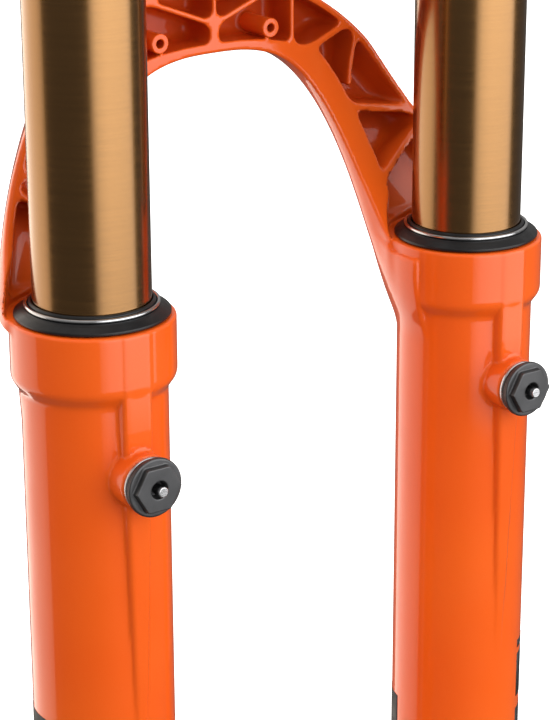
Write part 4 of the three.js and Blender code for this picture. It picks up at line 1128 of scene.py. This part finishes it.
def coil_mesh(name, at, radius, wire, low, high, turns, steps=48, around=12):
    """A coil spring of round wire, between the heights of its wire's two ends."""
    angle = np.linspace(0, turns * 2 * math.pi, turns * steps + 1)
    outward = directions(angle)
    centre = outward * radius
    centre[:, 2] = np.linspace(low, high, len(angle))
    sideways = np.cross(unit(np.gradient(centre, axis=0)), outward)
    turn = np.arange(around)[None, :, None] * 2 * math.pi / around
    rays = outward[:, None] * np.cos(turn) + sideways[:, None] * np.sin(turn)
    points = (centre[:, None] + rays * wire).reshape(-1, 3) + np.array((*at, 0))
    index = np.arange(len(points)).reshape(-1, around)
    cap = np.array([(0, i, i + 1, i + 2) for i in range(1, around - 2, 2)])
    faces = np.concatenate([wrapped(index)[:, ::-1], cap[:, ::-1], index[-1][cap]])
    mesh = mesh_from(name, points * MM + ORIGIN, faces)
    shade(mesh, rays.reshape(-1, 3))
    return mesh


def add_damper_spring():
    """The spring over the floating piston, drawn at one length; the real spring shortens as that piston
    rises.
    """
    node = "floating_piston_spring"
    low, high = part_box(node)
    wire = 1
    radius = (high.x - low.x) / 2 / MM - wire
    ends = [(z - COLLAR_Z) / MM for z in (low.z, high.z)]
    mesh = coil_mesh("spring", (-LEG_X, 0), radius, wire, ends[0] + wire, ends[1] - wire, 5)
    spring = put("damper_coil_spring", mesh, "upper", "polished_steel", node)
    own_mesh(spring)


def add_top_caps():
    left, right = (LEG_X, 0), (-LEG_X, 0)
    for name, at, neck_top, bore in (("air", left, 252, 4.2), ("damper", right, 246.5, 2.3)):
        outline = [
            (bore, 222), (16.7, 222), (16.7, 241.3, 0.1), (18.6, 241.3), (18.6, 244.2, 1.2),
            (11, 244.2, 0.4), (11, neck_top, 0.6), (bore, neck_top),
        ]
        mesh = turned_mesh(f"{name}_cap_body", outline, (*at, 0), 0.3, 96)
        put(f"{name}_cap_body", mesh, "upper", "black_anodised", f"{name}_top_cap")
    cap = knob_mesh("air_cap_knob", left, 14, 246.4, 258.5, 24, 0.7, [(11.3, 240, 255.5)], dimple=0.8)
    put("air_cap_knob", cap, "air_cap", "blue_anodised", "air_cap")
    node = "high_speed_compression_knob"
    hollows = [(11.3, 240, 246.8), (2.3, 240, 260)]
    high = knob_mesh("high_speed_knob", right, 15, 244.8, 254, 20, 0.9, hollows, dimple=0.5)
    put("high_speed_knob", high, node, "blue_anodised", node)
    node = "low_speed_compression_knob"
    low = knob_mesh("low_speed_knob", right, 9.5, 254.3, 260.5, 16, 0.8, spacing=0.3, dimple=0.6)
    put("low_speed_knob", low, node, "black_anodised", node)
    needle = turned_mesh("needle", [(0.02, 146), (2, 146), (2, 255), (0.02, 255)], (*right, 0), 0.3, 24)
    put("compression_needle", needle, node, "polished_steel", node)


def add_wipers():
    outline = [
        (19.3, -9), (22.2, -9), (22.2, 0.3, 0.1), (25, 0.3, 0.45), (25.05, 1.3, 0.5), (22.9, 2.7, 1.2),
        (21.7, 3.3, 0.4), (20.4, 3.25, 0.3), (20.2, 4.9, 0.35), (19.7, WIPER_TOP, 0.2),
        (19.3, WIPER_TOP, 0.12),
    ]
    for side, sign in SIDES:
        at = (sign * LEG_X, 0, 0)
        wiper = turned_mesh(f"wiper_{side}", outline, at, 0.2, 160)
        put(f"wiper_{side}", wiper, "lowers", "black_rubber", f"dust_wiper_{side}")
        wire = wire_mesh(f"garter_{side}", 21.05, 0.65, 4.0, at)
        put(f"garter_{side}", wire, "lowers", "polished_steel", f"garter_spring_{side}")


def add_bleed_valves():
    button = [(0.02, 22), (1.1, 22), (1.1, 35.4, 0.1), (1.75, 35.4), (1.75, 39.8, 0.35), (0.02, 39.8)]
    rings = (("washer", 30.75, 32, "bare_aluminium"), ("oring", 32.15, 33.2, "black_rubber"))
    for side, sign in SIDES:
        at = (sign * LEG_X, 0, BLEED_Z)
        valve = bleed_valve_mesh(side, at)
        node = f"bleed_valve_{side}"
        put(f"bleeder_{side}", valve, "lowers", "black_anodised", node, look="satin_anodised")
        for name, low, high, slot in rings:
            mesh = turned_mesh(f"bleed_{name}", ring(3.6, 9.1, low, high), at, 0.45, 72, "Y")
            put(f"bleeder_{name}_{side}", mesh, "lowers", slot, f"bleed_{name}_{side}")
        mesh = turned_mesh("button", button, at, 0.2, 48, "Y")
        node = f"bleed_button_{side}"
        put(f"bleeder_button_{side}", mesh, node, "polished_steel", node)


def add_wheel_end():
    put("axle_shaft", axle_mesh(), "axle", "black_anodised", "axle")
    sleeve = turned_mesh("sleeve", ring(7.8, 10, -84, -55.2), (0, AXLE_Y, AXLE_Z), 0.5, 72, "X")
    put("axle_clamp_sleeve", sleeve, "lowers", "bare_aluminium", "axle_sleeve")
    bolt = cap_screw_mesh("bolt", (PINCH_X, AXLE_Y + 0.5, PINCH_Z), 2.5, 4.2, -8, 8.8, 13, 4, forward=-1)
    put("clamp_bolt", bolt, "lowers", "polished_steel", "pinch_bolt")
    for side, sign in SIDES:
        nut = hexagon_mesh("nut", (sign * LEG_X, 0), 15, -341.3, -333.6, 5.3)
        put(f"foot_nut_hex_{side}", nut, "lowers", "polished_steel", f"foot_nut_{side}")
    node = "high_speed_rebound_dial"
    dial = hexagon_mesh("dial", (-LEG_X, 0), 15.5, -353.9, -341.9, 1.8)
    put("rebound_dial", dial, node, "black_anodised", node)
    node = "low_speed_rebound_knob"
    knob = knob_mesh("knob", (-LEG_X, 0), 8.4, -362.9, -354.2, 14, 0.8, spacing=0.3)
    put("rebound_knob", knob, node, "red_anodised", node)


def add_hose_guide():
    put("hose_clip", hose_guide_mesh(), "lowers", "black_plastic", "hose_guide")
    screw = cap_screw_mesh("screw", (LEG_X, HOSE_FACE, HOSE_Z), 1.5, 3.3, -5, 5, 7.2, 2.5)
    put("hose_clip_screw", screw, "lowers", "polished_steel", "hose_guide_screw")


def dress_carried_nodes():
    """Gives every CAD node that still shows the material of its slot."""
    for part in frame["record"]["subparts"]:
        node = frame["nodes"][part["node"]]
        if not node.hide_render:
            node.data.materials.clear()
            node.data.materials.append(LOOKS[part["material_slot"]])


def main():
    add_camera()
    arc_light("right_light", RIGHT_LEVELS, RIGHT_FADE)
    arc_light("left_light", LEFT_LEVELS, LEFT_FADE, WARM)
    overhead(1.5)
    add_world()
    add_floor(cad_box[0].z)
    add_casting()
    add_print()
    add_crown_and_steerer()
    add_stanchions()
    add_damper_spring()
    add_top_caps()
    add_wipers()
    add_bleed_valves()
    add_wheel_end()
    add_hose_guide()
    dress_carried_nodes()
    bpy.context.scene.view_settings.view_transform = "Standard"


main()
